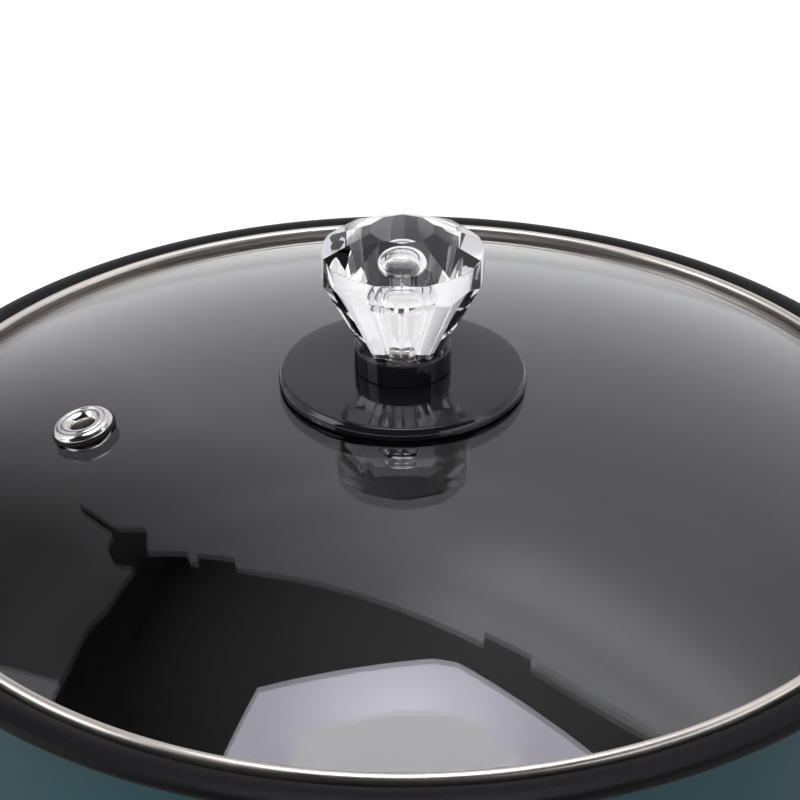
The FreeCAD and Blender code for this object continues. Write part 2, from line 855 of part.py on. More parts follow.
def heat_shield():
    """Shallow bright tray that keeps the heat off the base."""
    rim = shield_top + shield_rim
    bottom = shield_top - shield_sheet
    outline = Profile(0, bottom)
    outline.line(shield_radius - shield_flare, bottom)
    outline.line(shield_radius, rim)
    outline.line(shield_radius - shield_sheet, rim)
    outline.line(shield_radius - shield_flare - shield_sheet, shield_top)
    outline.line(0, shield_top)
    shield = outline.spin()
    for angle in stud_angles:
        hole = cylinder(stud_radius + stud_gap, bottom, shield_top, stud_circle)
        shield = shield.cut(turned(hole, angle))
    end_x, end_y = tube_end()
    window = block(2 * (end_x + shield_window_gap), 2 * shield_window_gap, bottom, shield_top, 0, end_y)
    return shield.cut(window)


# ---------------------------------------------------------------- heater

def tube_end():
    """Where the right-hand end of the heater tube hangs down: x, y."""
    angle = math.radians(90.0 - tube_gap)
    x = tube_circle * math.cos(angle) - tube_bend * math.sin(angle)
    y = tube_circle * math.sin(angle) + tube_bend * math.cos(angle)
    return x, y


def heater_plate():
    """Cast aluminium plate with a round-bottomed groove for the tube."""
    plate = cylinder(plate_radius, plate_underside, pot_underside)
    plate = plate.makeChamfer(plate_chamfer, edges_at_height(plate, plate_underside))
    groove_radius = tube_radius + groove_gap
    outline = Profile(tube_circle - groove_radius, plate_underside)
    outline.line(tube_circle - groove_radius, tube_height)
    outline.arc((tube_circle, tube_height + groove_radius), (tube_circle + groove_radius, tube_height))
    outline.line(tube_circle + groove_radius, plate_underside)
    groove = outline.spin(360.0 - 2 * tube_gap)
    plate = plate.cut(turned(groove, 90.0 + tube_gap))
    end_x, end_y = tube_end()
    angle = math.radians(90.0 - tube_gap)
    mid_x = (end_x + tube_circle * math.cos(angle)) / 2
    mid_y = (end_y + tube_circle * math.sin(angle)) / 2
    for side in (-1, 1):
        pocket = cylinder(tube_bend, plate_underside, tube_height + groove_radius, side * mid_x, mid_y)
        plate = plate.cut(pocket)
    return plate


def heater_tube():
    """C-shaped sheathed element whose two ends bend down."""
    start = math.radians(90.0 + tube_gap)
    finish = math.radians(450.0 - tube_gap)
    edges = []

    def on_circle(angle):
        return Vector(tube_circle * math.cos(angle), tube_circle * math.sin(angle), tube_height)

    def bend(angle, sense):
        """The quarter bend that leaves the circle at angle and ends pointing down."""
        away = Vector(-math.sin(angle), math.cos(angle), 0) * sense
        begin = on_circle(angle)
        middle = begin + away * (tube_bend * math.sqrt(0.5)) - Z_AXIS * (tube_bend * (1 - math.sqrt(0.5)))
        end = begin + away * tube_bend - Z_AXIS * tube_bend
        return begin, middle, end

    first, first_middle, first_end = bend(start, -1)
    last, last_middle, last_end = bend(finish, 1)
    drop = Z_AXIS * tube_drop
    edges.append(Part.LineSegment(first_end - drop, first_end).toShape())
    edges.append(Part.Arc(first_end, first_middle, first).toShape())
    edges.append(Part.Arc(first, on_circle((start + finish) / 2), last).toShape())
    edges.append(Part.Arc(last, last_middle, last_end).toShape())
    edges.append(Part.LineSegment(last_end, last_end - drop).toShape())
    circle = Part.Wire(Part.makeCircle(tube_radius, first_end - drop, Z_AXIS))
    return Part.Wire(edges).makePipeShell([circle], True, False)


def heater_terminals():
    end_x, end_y = tube_end()
    top = tube_height - tube_bend - tube_drop
    low = top - terminal_neck_length
    solids = []
    for side in (-1, 1):
        neck = cylinder(terminal_neck, low, top, side * end_x, end_y)
        tab = block(tab_thickness, tab_width, base_floor_top + tab_room, low, side * end_x, end_y)
        solids.append(neck.fuse(tab))
    return group(solids)


def sensor_bulb():
    rod = Part.makeCylinder(bulb_radius, bulb_length, ORIGIN, Vector(1, 0, 0))
    rod = rod.makeFillet(bulb_round, rod.Edges[0:1] + rod.Edges[2:3])
    rod.translate(Vector(-bulb_length / 2, bulb_y, plate_underside - bulb_radius))
    return rod


def saddle_clip(radius, length, wing, centre_y):
    """A folded strap that holds a rod along X up against the heater plate."""
    outer = radius + bond_gap + clip_sheet
    inner = radius + bond_gap
    axis = plate_underside - radius
    low = Vector(-length / 2, 0, 0)
    strap = Part.makeCylinder(outer, length, low, Vector(1, 0, 0))
    strap = strap.fuse(Part.makeBox(length, 2 * outer, radius, Vector(-length / 2, -outer, 0)))
    wing_corner = Vector(-length / 2, -wing, radius - clip_sheet)
    strap = strap.fuse(Part.makeBox(length, 2 * wing, clip_sheet, wing_corner))
    bore = Part.makeCylinder(inner, length, low, Vector(1, 0, 0))
    bore = bore.fuse(Part.makeBox(length, 2 * inner, radius, Vector(-length / 2, -inner, 0)))
    above = Part.makeBox(length, 2 * outer, outer, Vector(-length / 2, -outer, radius))
    strap = strap.cut(bore).cut(above).removeSplitter()
    strap.translate(Vector(0, centre_y, axis))
    return strap


def bulb_clip():
    return saddle_clip(bulb_radius, bulb_clip_length, bulb_clip_wing, bulb_y)


def thermal_fuse():
    along = Vector(1, 0, 0)
    rod = Part.makeCylinder(fuse_radius, fuse_length, Vector(-fuse_length / 2, 0, 0), along)
    span = fuse_length + 2 * fuse_lead
    fuse = rod.fuse(Part.makeCylinder(fuse_lead_radius, span, Vector(-span / 2, 0, 0), along))
    fuse.translate(Vector(0, fuse_y, plate_underside - fuse_radius))
    return fuse


def fuse_clip():
    return saddle_clip(fuse_radius, fuse_clip_length, fuse_clip_wing, fuse_y)


def earth_stud():
    nut_top = plate_underside - earth_nut_gap
    nut_low = nut_top - earth_nut_thickness
    stud = cylinder(small_screw, plate_underside - earth_length, plate_underside, earth_x, earth_y)
    nut = hex_nut(earth_nut_width, nut_low, nut_top, small_screw - earth_thread, earth_x, earth_y)
    return stud.fuse(nut)


# ---------------------------------------------------------------- front pod

def pod(half_width, half_height, panel):
    """A moulded pod: round-ended face on a wall that dies into the shell."""
    body = stadium(half_width, half_height, shell_curve_centre, panel)
    body = body.makeFillet(pod_edge, edges_at_height(body, panel))
    hollow = stadium(half_width - pod_wall, half_height - pod_wall, shell_curve_centre, panel - pod_wall)
    return body.cut(hollow)


def with_bosses(housing, points, panel):
    """The pod with a screw boss behind its face at each point."""
    for x, y in points:
        housing = housing.fuse(cylinder(pod_boss, shell_curve_centre, panel - pod_wall, x, y))
    for x, y in points:
        housing = housing.cut(cylinder(small_screw + screw_gap, 0, panel - pod_wall - tip_gap, x, y))
    return housing


def control_housing():
    """Front pod with the dial's bush hole, the lens hole and four screw bosses."""
    housing = pod(front_pod_half_width, front_pod_half_height, front_panel)
    housing = with_bosses(housing, pod_screw_points(), front_panel)
    housing = housing.cut(cylinder(bush_radius + bond_gap, 0, dial_face))
    housing = housing.cut(cylinder(lens_stem + bond_gap, 0, dial_face, lens_x))
    return at_front(housing, dial_height).cut(body_envelope(-bond_gap)).removeSplitter()


def pod_screws(points, panel, height, placer):
    """Screws driven outward from inside the shell into a pod's bosses."""
    solids = []
    for x, y in points:
        depths = []
        for edge_x in (x - small_head, x + small_head):
            for edge_y in (y - small_head, y + small_head):
                depths.append(math.sqrt(shell_radius(height + edge_y) ** 2 - edge_x ** 2))
        head_face = min(depths) - shell_sheet - 2 * bond_gap
        length = panel - pod_wall - pod_screw_grip - head_face
        screw = pan_screw(small_screw, length, small_head, small_head_height)
        screw.translate(Vector(x, y, head_face))
        solids.append(placer(screw, height))
    return solids


def housing_screws():
    return group(pod_screws(pod_screw_points(), front_panel, dial_height, at_front))


def dial_bezel():
    """Bright ring round the dial, with a rounded outer edge."""
    low = front_panel
    high = front_panel + bezel_thickness
    outline = Profile(bezel_inner, low)
    outline.line(bezel_outer, low)
    outline.line(bezel_outer, high - bezel_round)
    outline.quarter((bezel_outer - bezel_round, high - bezel_round), (bezel_outer - bezel_round, high))
    outline.line(bezel_inner + bezel_chamfer, high)
    outline.line(bezel_inner, high - bezel_chamfer)
    return at_front(outline.spin(), dial_height)


def spindle_flat_cut(gap, low, high):
    """What the D flat leaves out of a round bar or hole."""
    depth = spindle_radius
    return block(4 * spindle_radius, depth, low, high, 0, -spindle_flat - gap - depth / 2)


def control_dial():
    """Turning dial: fluted drum, dished face, raised pointer and a recess over the bush nut."""
    shoulder = dial_radius - dial_draft
    outline = Profile(0, dial_face - dial_dish)
    outline.dome(dial_radius - dial_land, dial_face)
    outline.line(dial_radius - dial_shoulder, dial_face)
    outline.bulge((shoulder, dial_face - dial_shoulder_drop), dial_crown)
    outline.line(dial_radius, dial_foot)
    outline.line(0, dial_foot)
    dial = outline.spin()
    groove_low = dial_foot + dial_groove_start
    groove = cylinder(dial_groove_radius, groove_low, dial_face, dial_radius + dial_groove_stand)
    for index in range(dial_grooves):
        dial = dial.cut(turned(groove, index * 360.0 / dial_grooves))
    pointer_length = dial_radius - pointer_end - pointer_start
    pointer = block(pointer_width, pointer_length, dial_face - pointer_depth, dial_face,
                    0, pointer_start + pointer_length / 2)
    pointer = pointer.makeFillet(pointer_round, edges_at_height(pointer, dial_face) + upright_edges(pointer))
    dial = dial.fuse(pointer)
    nut_recess = bush_nut_width / math.sqrt(3) + dial_recess_gap
    dial = dial.cut(cylinder(nut_recess, dial_foot, dial_recess_top))
    seat = cylinder(spindle_radius + screw_gap, dial_foot, dial_foot + spindle_in_dial)
    seat = seat.cut(spindle_flat_cut(screw_gap, dial_foot, dial_face))
    return at_front(dial.cut(seat), dial_height)


def thermostat_spindle():
    """D-ended spindle that the dial turns."""
    back = front_panel - pod_wall - spindle_depth
    front = dial_foot + spindle_in_dial - spindle_tip
    rod = cylinder(spindle_radius, back, front)
    rod = rod.makeChamfer(spindle_chamfer, edges_at_height(rod, front))
    flat_start = (bush_end + dial_recess_top) / 2
    return at_front(rod.cut(spindle_flat_cut(0.0, flat_start, front)), dial_height)


def thermostat_body():
    """Snap-action thermostat: square body, threaded bush, two blades and the capillary nipple."""
    front = front_panel - pod_wall
    back = front - thermostat_depth
    body = block(thermostat_width, thermostat_height, back, front)
    body = body.makeFillet(thermostat_round, upright_edges(body))
    body = body.fuse(cylinder(bush_radius, front, bush_end))
    body = body.cut(cylinder(spindle_radius + running_gap, front - spindle_depth - tip_gap, bush_end))
    for side in (-1, 1):
        blade = block(tab_thickness, tab_width, back - blade_length, back, side * blade_x, blade_y)
        body = body.fuse(blade)
    body = body.fuse(cylinder(nipple_radius, back - nipple_length, back, 0, -nipple_drop))
    return at_front(body, dial_height)


def thermostat_nut():
    nut = hex_nut(bush_nut_width, front_panel, front_panel + bush_nut_thickness, bush_radius + bond_gap)
    return at_front(nut, dial_height)
def capillary_tube():
    """Thin copper tube from the bulb, round the heat shield's edge, up to the thermostat."""
    back = front_panel - pod_wall - thermostat_depth - nipple_length
    bulb_end = Vector(bulb_length / 2, bulb_y, plate_underside - bulb_radius)
    beside = bulb_end.x + capillary_lead
    level = dial_height - nipple_drop
    upright = back - capillary_rise
    points = [
        bulb_end,
        Vector(beside, bulb_y, bulb_end.z),
        Vector(beside, -shield_radius - capillary_clear, bulb_end.z),
        Vector(0, -upright, bulb_end.z),
        Vector(0, -upright, level),
        Vector(0, -back, level),
    ]
    return tube_along(points, capillary_bend, capillary_radius)


lens_back = front_panel - pod_wall - lens_tail


def indicator_lens():
    outline = Profile(0, front_panel + lens_height)
    outline.dome(lens_radius, front_panel + lens_edge)
    outline.line(lens_radius, front_panel)
    outline.line(lens_stem, front_panel)
    outline.line(lens_stem, lens_back)
    outline.line(0, lens_back)
    lens = outline.spin()
    lens.translate(Vector(lens_x, 0, 0))
    return at_front(lens, dial_height)


def indicator_lamp():
    front = lens_back - lamp_gap
    lamp = cylinder(lamp_radius, front - lamp_length, front, lens_x)
    lamp = lamp.makeFillet(lamp_round, edges_at_height(lamp, front))
    return at_front(lamp, dial_height)


# ---------------------------------------------------------------- rear pod and inlet

def inlet_housing():
    """Rear pod that gives the inlet a flat seat."""
    housing = pod(rear_pod_half_width, rear_pod_half_height, rear_panel)
    housing = with_bosses(housing, rear_screw_points(), rear_panel)
    opening = block(inlet_width + 2 * bond_gap, inlet_body_height + 2 * bond_gap, 0, inlet_face)
    housing = housing.cut(opening)
    for side in (-1, 1):
        housing = housing.cut(cylinder(tiny_screw + screw_gap, 0, inlet_face, side * inlet_screw_x))
    return at_back(housing, inlet_height).cut(body_envelope(-bond_gap)).removeSplitter()


def rear_pod_screws():
    return group(pod_screws(rear_screw_points(), rear_panel, inlet_height, at_back))


def inlet_corners(width, height, low, high):
    """A block with its two upper corners cut off, as on a mains inlet."""
    half = width / 2
    top = height / 2
    points = [Vector(-half, -top, low), Vector(half, -top, low), Vector(half, top - inlet_chamfer, low),
              Vector(half - inlet_chamfer, top, low), Vector(-half + inlet_chamfer, top, low),
              Vector(-half, top - inlet_chamfer, low), Vector(-half, -top, low)]
    return Part.Face(Part.makePolygon(points)).extrude(Vector(0, 0, high - low))


def pin_points():
    return [(-pin_spacing, -pin_offset), (pin_spacing, -pin_offset), (0.0, pin_offset)]


def power_inlet():
    """Three-pin appliance inlet: flange, barrel and the well that a connector enters."""
    flange = stadium(inlet_flange_half_width, inlet_flange_half_height, rear_panel, inlet_face)
    flange = flange.makeFillet(inlet_flange_round, edges_at_height(flange, inlet_face))
    back = inlet_face - inlet_well_depth - inlet_back
    barrel = block(inlet_width, inlet_body_height, back, rear_panel)
    inlet = flange.fuse(barrel)
    inlet = inlet.cut(inlet_corners(inlet_well_width, inlet_well_height, back + inlet_back, inlet_face))
    for x, y in pin_points():
        inlet = inlet.cut(block(pin_width, pin_height, back, back + inlet_back, x, y))
    for side in (-1, 1):
        inlet = inlet.cut(cylinder(tiny_screw + screw_gap, rear_panel, inlet_face, side * inlet_screw_x))
    return at_back(inlet.removeSplitter(), inlet_height)


def inlet_pins():
    back = inlet_face - inlet_well_depth - inlet_back
    front = back + inlet_back + pin_length
    solids = []
    for x, y in pin_points():
        pin = block(pin_width, pin_height, back - pin_tail, front, x, y)
        solids.append(at_back(pin.makeChamfer(pin_chamfer, edges_at_height(pin, front)), inlet_height))
    return group(solids)


def inlet_screws():
    length = inlet_flange_thickness + pod_wall + inlet_screw_tip
    screw = pan_screw(tiny_screw, length, tiny_head, tiny_head_height)
    screw.rotate(ORIGIN, Vector(1, 0, 0), 180)
    solids = []
    for side in (-1, 1):
        copy = screw.copy()
        copy.translate(Vector(side * inlet_screw_x, 0, inlet_face))
        solids.append(at_back(copy, inlet_height))
    return group(solids)


def terminal_block():
    """Ceramic block with a wire hole and a screw well for each way."""
    low = base_floor_top
    high = low + base_room - block_room
    wire = low + block_wire_level
    middle = (tube_end()[1] + shield_radius) / 2
    body = block(block_length, block_width, low, high, 0, middle)
    body = body.makeFillet(block_round, upright_edges(body))
    pitch = block_length / block_ways
    for index in range(block_ways):
        x = (index - (block_ways - 1) / 2) * pitch
        wire_start = Vector(x, middle - block_width / 2, wire)
        body = body.cut(Part.makeCylinder(block_wire_hole, block_width, wire_start, Vector(0, 1, 0)))
        for side in (-1, 1):
            body = body.cut(cylinder(block_screw_well, wire, high, x, middle + side * block_width / 4))
    return body


# ---------------------------------------------------------------- lid

def lid_glass():
    """Domed tempered glass with a centre hole and a vent hole square to its surface."""
    outline = Profile(glass_centre_hole, glass_top(glass_centre_hole))
    outline.dome(glass_edge_radius, glass_top(glass_edge_radius))
    outline.line(glass_edge_radius, glass_underside(glass_edge_radius))
    outline.dome(glass_centre_hole, glass_underside(glass_centre_hole))
    glass = outline.spin()
    drill = cylinder(vent_hole, -3 * glass_thickness, 2 * glass_thickness)
    return glass.cut(on_glass(drill))


def on_glass(shape):
    """Stands a shape, drawn about Z with the glass surface at Z = 0, square on the glass at the vent."""
    lean = math.degrees(math.asin(vent_circle / glass_dome))
    copy = shape.copy()
    copy.translate(Vector(0, 0, glass_dome))
    copy.rotate(ORIGIN, Vector(0, 1, 0), lean)
    copy.translate(Vector(0, 0, glass_centre))
    return turned(copy, vent_azimuth)


def lid_ring():
    """Rolled steel rim: half-round bead above, a channel round the glass edge, a lip below."""
    bead_radius = ring_outer_radius - ring_bead
    bead_inner = bead_radius - ring_bead
    wall_inner = ring_outer_radius - ring_sheet
    lip_inner = wall_inner - ring_lip

    def below(radius):
        return glass_underside(radius) - bond_gap

    outline = Profile(ring_outer_radius, ring_bottom)
    outline.line(ring_outer_radius, ring_bead_height)
    outline.arc((bead_radius, ring_bead_height + ring_bead), (bead_inner, ring_bead_height))
    outline.line(bead_inner, glass_top(bead_inner) + bond_gap)
    outline.line(wall_inner, glass_top(wall_inner) + bond_gap)
    outline.line(wall_inner, below(wall_inner))
    outline.line(lip_inner, below(lip_inner))
    outline.line(lip_inner, below(lip_inner) - ring_sheet)
    outline.line(wall_inner - ring_foot, ring_bottom)
    return outline.spin()


def vent_eyelet():
    """Polished eyelet: rolled flange with a fine step, throat, and the end rolled under the glass."""
    seat = vent_gasket_thickness
    top = vent_flange_height
    under = -glass_thickness - vent_under_gap
    crest = vent_flange - vent_slope
    end = vent_collar - vent_roll
    outline = Profile(vent_flange - vent_flange_foot, seat)
    outline.bulge((vent_flange - vent_edge_round, seat + vent_edge), -vent_edge_round)
    outline.bulge((crest, top - vent_slope_drop), -vent_edge_round)
    outline.line(crest - vent_step, top - vent_slope_drop - vent_step)
    outline.bulge((vent_throat + vent_mouth, top - vent_mouth_drop), -vent_crown)
    outline.bulge((vent_throat, top - vent_throat_drop), -vent_crown / 2)
    outline.line(vent_throat, under - 2 * vent_roll)
    outline.line(end, under - 2 * vent_roll)
    outline.arc((vent_collar, under - vent_roll), (end, under))
    outline.line(vent_barrel, under)
    outline.line(vent_barrel, seat)
    return on_glass(outline.spin())


def vent_gasket():
    """Silicone washer between the eyelet's flange and the glass."""
    return on_glass(ring(vent_gasket_radius, vent_hole, bond_gap, vent_gasket_thickness))


def domed_washer(outer, hole, lift, thickness):
    """A washer that follows the glass, its underside lift above it."""
    def above(radius, extra):
        dome = glass_dome + extra
        return glass_centre + math.sqrt(dome ** 2 - radius ** 2)

    outline = Profile(hole, above(hole, lift))
    outline.dome(outer, above(outer, lift))
    outline.line(outer, above(outer, lift + thickness))
    outline.dome(hole, above(hole, lift + thickness))
    return outline.spin()


def disc_gasket():
    """Silicone washer in the recess under the disc."""
    thickness = disc_stand + disc_recess - 2 * bond_gap
    return domed_washer(disc_gasket_radius, thread_radius + gasket_hole_gap, bond_gap, thickness)


def knob_disc():
    """Glossy disc: shallow domed face, flat seat for the collar, hollow underside with a gasket recess."""
    hole = thread_radius + knob_hole_gap
    recess_side = disc_gasket_radius + disc_recess_side

    def under(radius, lift):
        return glass_centre + math.sqrt((glass_dome + lift) ** 2 - radius ** 2)

    outline = Profile(hole, under(hole, disc_stand + disc_recess))
    outline.dome(recess_side, under(recess_side, disc_stand + disc_recess))
    outline.line(recess_side, under(recess_side, disc_stand))
    outline.dome(disc_radius - disc_hem, under(disc_radius - disc_hem, disc_stand))
    outline.line(disc_radius, under(disc_radius, disc_stand) + disc_hem)
    outline.line(disc_radius, disc_shoulder - disc_round)
    outline.quarter((disc_radius - disc_round, disc_shoulder - disc_round),
                    (disc_radius - disc_round, disc_shoulder))
    outline.bulge((collar_radius + collar_seat, collar_foot), -disc_dome_sag)
    outline.line(hole, collar_foot)
    return outline.spin()


def knob_collar():
    """Black ferrule with a shallow seat for the foot of the crystal."""
    hole = thread_radius + knob_hole_gap
    outline = Profile(hole, collar_foot)
    outline.line(collar_radius - collar_chamfer, collar_foot)
    outline.line(collar_radius, collar_foot + collar_chamfer)
    outline.line(collar_radius, collar_top - collar_round)
    outline.quarter((collar_radius - collar_round, collar_top - collar_round),
                    (collar_radius - collar_round, collar_top))
    outline.line(crystal_seat_radius, collar_top)
    outline.line(crystal_seat_radius, gem_foot)
    outline.line(hole, gem_foot)
    return outline.spin()


def grind(gem, azimuth, normal, radius, height):
    """Grinds one flat facet. Its plane passes the point at radius, height on the azimuth."""
    size = 4 * gem_radius
    waste = Part.makeBox(size, size, size, Vector(-size / 2, -size / 2, 0))
    waste = aimed(waste, Vector(radius, 0, height), normal)
    return gem.cut(turned(waste, azimuth))


def knob_crystal():
    """Cut knob: pavilion facets, twenty-sided girdle, crown facets and a small table, bored from below."""
    low = gem_foot
    main_step = 360.0 / (gem_sides / 2)
    half_step = main_step / 2
    gem = prism(gem_sides, gem_radius, gem_turn, low, low + gem_height)
    foot_flat = gem_foot_radius * math.cos(math.radians(half_step))
    pavilion = Vector(gem_girdle_low, 0, foot_flat - gem_radius)
    slope = math.radians(crown_slope)
    crown = Vector(math.sin(slope), 0, math.cos(slope))
    for index in range(gem_sides // 2):
        between = gem_turn + half_step + index * main_step
        gem = grind(gem, between, pavilion, gem_radius, low + gem_girdle_low)
        gem = grind(gem, between, crown, gem_radius, low + gem_girdle_top)
    bore = Profile(0, low)
    bore.line(bore_radius, low)
    bore.line(bore_radius, low + bore_depth - bore_radius)
    bore.arc((bore_radius * math.sqrt(0.5), low + bore_depth - bore_radius * (1 - math.sqrt(0.5))),
             (0, low + bore_depth))
    return gem.cut(bore.spin())


def knob_insert():
    """Threaded metal insert bonded in the crystal's bore."""
    insert = ring(bore_radius - bond_gap, thread_radius, gem_foot, gem_foot + insert_height)
    return insert.makeChamfer(insert_chamfer, edges_at_height(insert, gem_foot + insert_height))


under_gasket_top = glass_underside(under_gasket_radius) - bond_gap
under_gasket_low = under_gasket_top - under_gasket_thickness
knob_washer_low = under_gasket_low - knob_washer_thickness


def under_gasket():
    hole = thread_radius + gasket_hole_gap
    return ring(under_gasket_radius, hole, under_gasket_low, under_gasket_top)


def knob_washer():
    hole = thread_radius + washer_hole_gap
    washer = ring(knob_washer_radius, hole, knob_washer_low, under_gasket_low)
    outer = [edge for edge in edges_at_height(washer, knob_washer_low) if edge.BoundBox.XLength > 3 * hole]
    return washer.makeFillet(knob_washer_round, outer)


def knob_screw():
    length = gem_foot + screw_reach - knob_washer_low
    screw = pan_screw(thread_radius - screw_gap, length, knob_screw_head, knob_screw_head_height)
    slot_top = knob_screw_slot_depth - knob_screw_head_height
    slot = block(knob_screw_slot, 2 * knob_screw_head, -knob_screw_head_height, slot_top)
    screw = screw.cut(slot).cut(turned(slot, 90))
    screw.translate(Vector(0, 0, knob_washer_low))
    return screw


# ---------------------------------------------------------------- export

nodes = {
    "inner_pot": inner_pot(),
    "outer_shell": outer_shell(),
    "side_handle_right": side_handle(),
    "side_handle_left": turned(side_handle(), 180),
    "handle_plates": handle_plates(),
    "handle_screws": handle_screws(),
    "base_cover": base_cover(),
    "rubber_feet": rubber_feet(),
    "pot_studs": pot_studs(),
    "shield_spacers": shield_spacers(),
    "base_spacers": base_spacers(),
    "base_nuts": base_nuts(),
    "heat_shield": heat_shield(),
    "heater_plate": heater_plate(),
    "heater_tube": heater_tube(),
    "heater_terminals": heater_terminals(),
    "sensor_bulb": sensor_bulb(),
    "bulb_clip": bulb_clip(),
    "thermal_fuse": thermal_fuse(),
    "fuse_clip": fuse_clip(),
    "earth_stud": earth_stud(),
    "control_housing": control_housing(),
    "housing_screws": housing_screws(),
    "dial_bezel": dial_bezel(),
    "control_dial": control_dial(),
    "thermostat_spindle": thermostat_spindle(),
    "thermostat_body": thermostat_body(),
    "thermostat_nut": thermostat_nut(),
    "capillary_tube": capillary_tube(),
    "indicator_lens": indicator_lens(),
    "indicator_lamp": indicator_lamp(),
    "inlet_housing": inlet_housing(),
    "rear_pod_screws": rear_pod_screws(),
    "power_inlet": power_inlet(),
    "inlet_pins": inlet_pins(),
    "inlet_screws": inlet_screws(),
    "terminal_block": terminal_block(),
    "lid_glass": lid_glass(),
    "lid_ring": lid_ring(),
    "vent_eyelet": vent_eyelet(),
    "vent_gasket": vent_gasket(),
    "disc_gasket": disc_gasket(),
    "knob_disc": knob_disc(),
    "knob_collar": knob_collar(),
    "knob_crystal": knob_crystal(),
    "knob_insert": knob_insert(),
    "under_gasket": under_gasket(),
    "knob_washer": knob_washer(),
    "knob_screw": knob_screw(),
}

os.makedirs("parts", exist_ok=True)
for name, shape in nodes.items():
    shape.exportStep(f"parts/{name}.step")
    print(f"{name}: {len(shape.Solids)} solids, {shape.Volume:.1f} mm3, valid {shape.isValid()}")
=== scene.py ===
"""Looks of an electric hot pot with a lift-off glass lid and a cut knob, dressed over its CAD model."""

import json
import logging
from dataclasses import dataclass
from enum import Enum
from functools import cache, partial
from math import asin, atan2, cos, degrees, hypot, pi, radians, sin, sqrt, tau

import bpy
from mathutils import Matrix, Vector


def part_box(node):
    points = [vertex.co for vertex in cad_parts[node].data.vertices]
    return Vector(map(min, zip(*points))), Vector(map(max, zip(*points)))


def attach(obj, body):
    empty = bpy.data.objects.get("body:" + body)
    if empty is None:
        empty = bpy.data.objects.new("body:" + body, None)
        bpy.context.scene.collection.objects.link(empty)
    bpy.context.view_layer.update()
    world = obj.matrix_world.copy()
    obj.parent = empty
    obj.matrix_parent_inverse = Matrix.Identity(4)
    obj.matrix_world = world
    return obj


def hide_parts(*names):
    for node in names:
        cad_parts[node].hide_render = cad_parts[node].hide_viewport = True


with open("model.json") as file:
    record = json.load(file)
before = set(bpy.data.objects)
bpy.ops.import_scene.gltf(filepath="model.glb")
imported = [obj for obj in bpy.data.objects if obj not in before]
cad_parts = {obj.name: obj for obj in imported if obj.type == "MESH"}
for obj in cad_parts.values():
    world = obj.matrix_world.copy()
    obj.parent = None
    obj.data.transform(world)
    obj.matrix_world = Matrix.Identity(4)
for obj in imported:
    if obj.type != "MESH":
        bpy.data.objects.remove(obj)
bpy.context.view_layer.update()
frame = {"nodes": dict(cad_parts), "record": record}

MM = 0.001
WELD_MM = 0.002
# Edges stay sharp where faces turn by more than this many degrees.
TURNED_CREASE = 35.0
EYELET_CREASE = 50.0
GEM_CREASE = 12.0
CAD_CREASE = 32.0
# Edges of the cut knob are polished where its facets turn by more than this many degrees.
FACET_TURN = 4.0
GRIND_SNAP_MM = 0.001
LOG = logging.getLogger("hot_pot")

Material = bpy.types.Material
Pair = tuple[float, float]
Piece = bpy.types.Object
Place = tuple[float, float, float]
Socket = bpy.types.NodeSocket
Tree = bpy.types.NodeTree
Inputs = dict[str, Socket | float | tuple]


class Steps(Enum):
    """How many flats a turned piece gets round its axis."""

    SMALL = 96
    MEDIUM = 160
    LARGE = 320


# ---------------- colour and node helpers


def linear(code: str) -> tuple[float, float, float, float]:
    """Turns an sRGB hex colour into linear light.

    Args:
        code: six hex digits, such as "3A5358".

    Returns:
        Red, green, blue and alpha, linear.
    """
    channels = []
    for start in (0, 2, 4):
        value = int(code[start:start + 2], 16) / 255.0
        channels.append(value / 12.92 if value <= 0.04045 else ((value + 0.055) / 1.055) ** 2.4)
    return (channels[0], channels[1], channels[2], 1.0)


def per_mm(size: float) -> float:
    """Texture scale on Object coordinates, in metres, for a grain of that many millimetres."""
    return 1.0 / (size * MM)


def add(tree: Tree, kind: str, inputs: Inputs | tuple = (), out: str | int = 0, **settings: object) -> Socket:
    """Adds one shader node with its settings and links.

    Args:
        tree: the node tree that it goes into.
        kind: Blender's name for the node, without "ShaderNode".
        inputs: plain values or the outputs that feed it, by socket name or else in socket order.
        out: name or number of the output that is wanted.
        settings: properties of the node itself.

    Returns:
        That output, whose node leads to the others.
    """
    made = tree.nodes.new("ShaderNode" + kind)
    for name, value in settings.items():
        setattr(made, name, value)
    fed = inputs.items() if isinstance(inputs, dict) else enumerate(inputs)
    for socket, value in fed:
        if isinstance(value, Socket):
            tree.links.new(value, made.inputs[socket])
        else:
            made.inputs[socket].default_value = value
    return made.outputs[out]


def blank(name: str) -> tuple[Material, Tree, Socket]:
    """Makes an empty node material.

    Args:
        name: the material's name.

    Returns:
        The material, its tree and the socket that its shader goes to.
    """
    material = bpy.data.materials.new(name)
    material.use_nodes = True
    tree = material.node_tree
    tree.nodes.clear()
    return material, tree, tree.nodes.new("ShaderNodeOutputMaterial").inputs["Surface"]


def grain(tree: Tree, size: float, detail: float = 3.0) -> Socket:
    """Noise on Object coordinates.

    Args:
        tree: the node tree.
        size: size of one grain in millimetres.
        detail: how many finer layers are added.

    Returns:
        The noise, from 0 to 1.
    """
    place = add(tree, "TexCoord", out="Object")
    return add(tree, "TexNoise", {"Vector": place, "Scale": per_mm(size), "Detail": detail})


def ramp(tree: Tree, value: Socket, stops: tuple[Pair, ...]) -> Socket:
    """Turns a value into a level that runs through a list of stops.

    Args:
        tree: the node tree.
        value: what is turned, from 0 to 1.
        stops: pairs of a value and its level, in order.

    Returns:
        The level.
    """
    level = add(tree, "ValToRGB", (value,))
    elements = level.node.color_ramp.elements
    while len(elements) < len(stops):
        elements.new(0.5)
    for element, (at, grey) in zip(elements, stops):
        element.position = at
        element.color = (grey, grey, grey, 1.0)
    return level


# ---------------- finishes


# Noise mostly stays between these two values, so a finish spreads its range over them.
CALM = (0.3, 0.7)


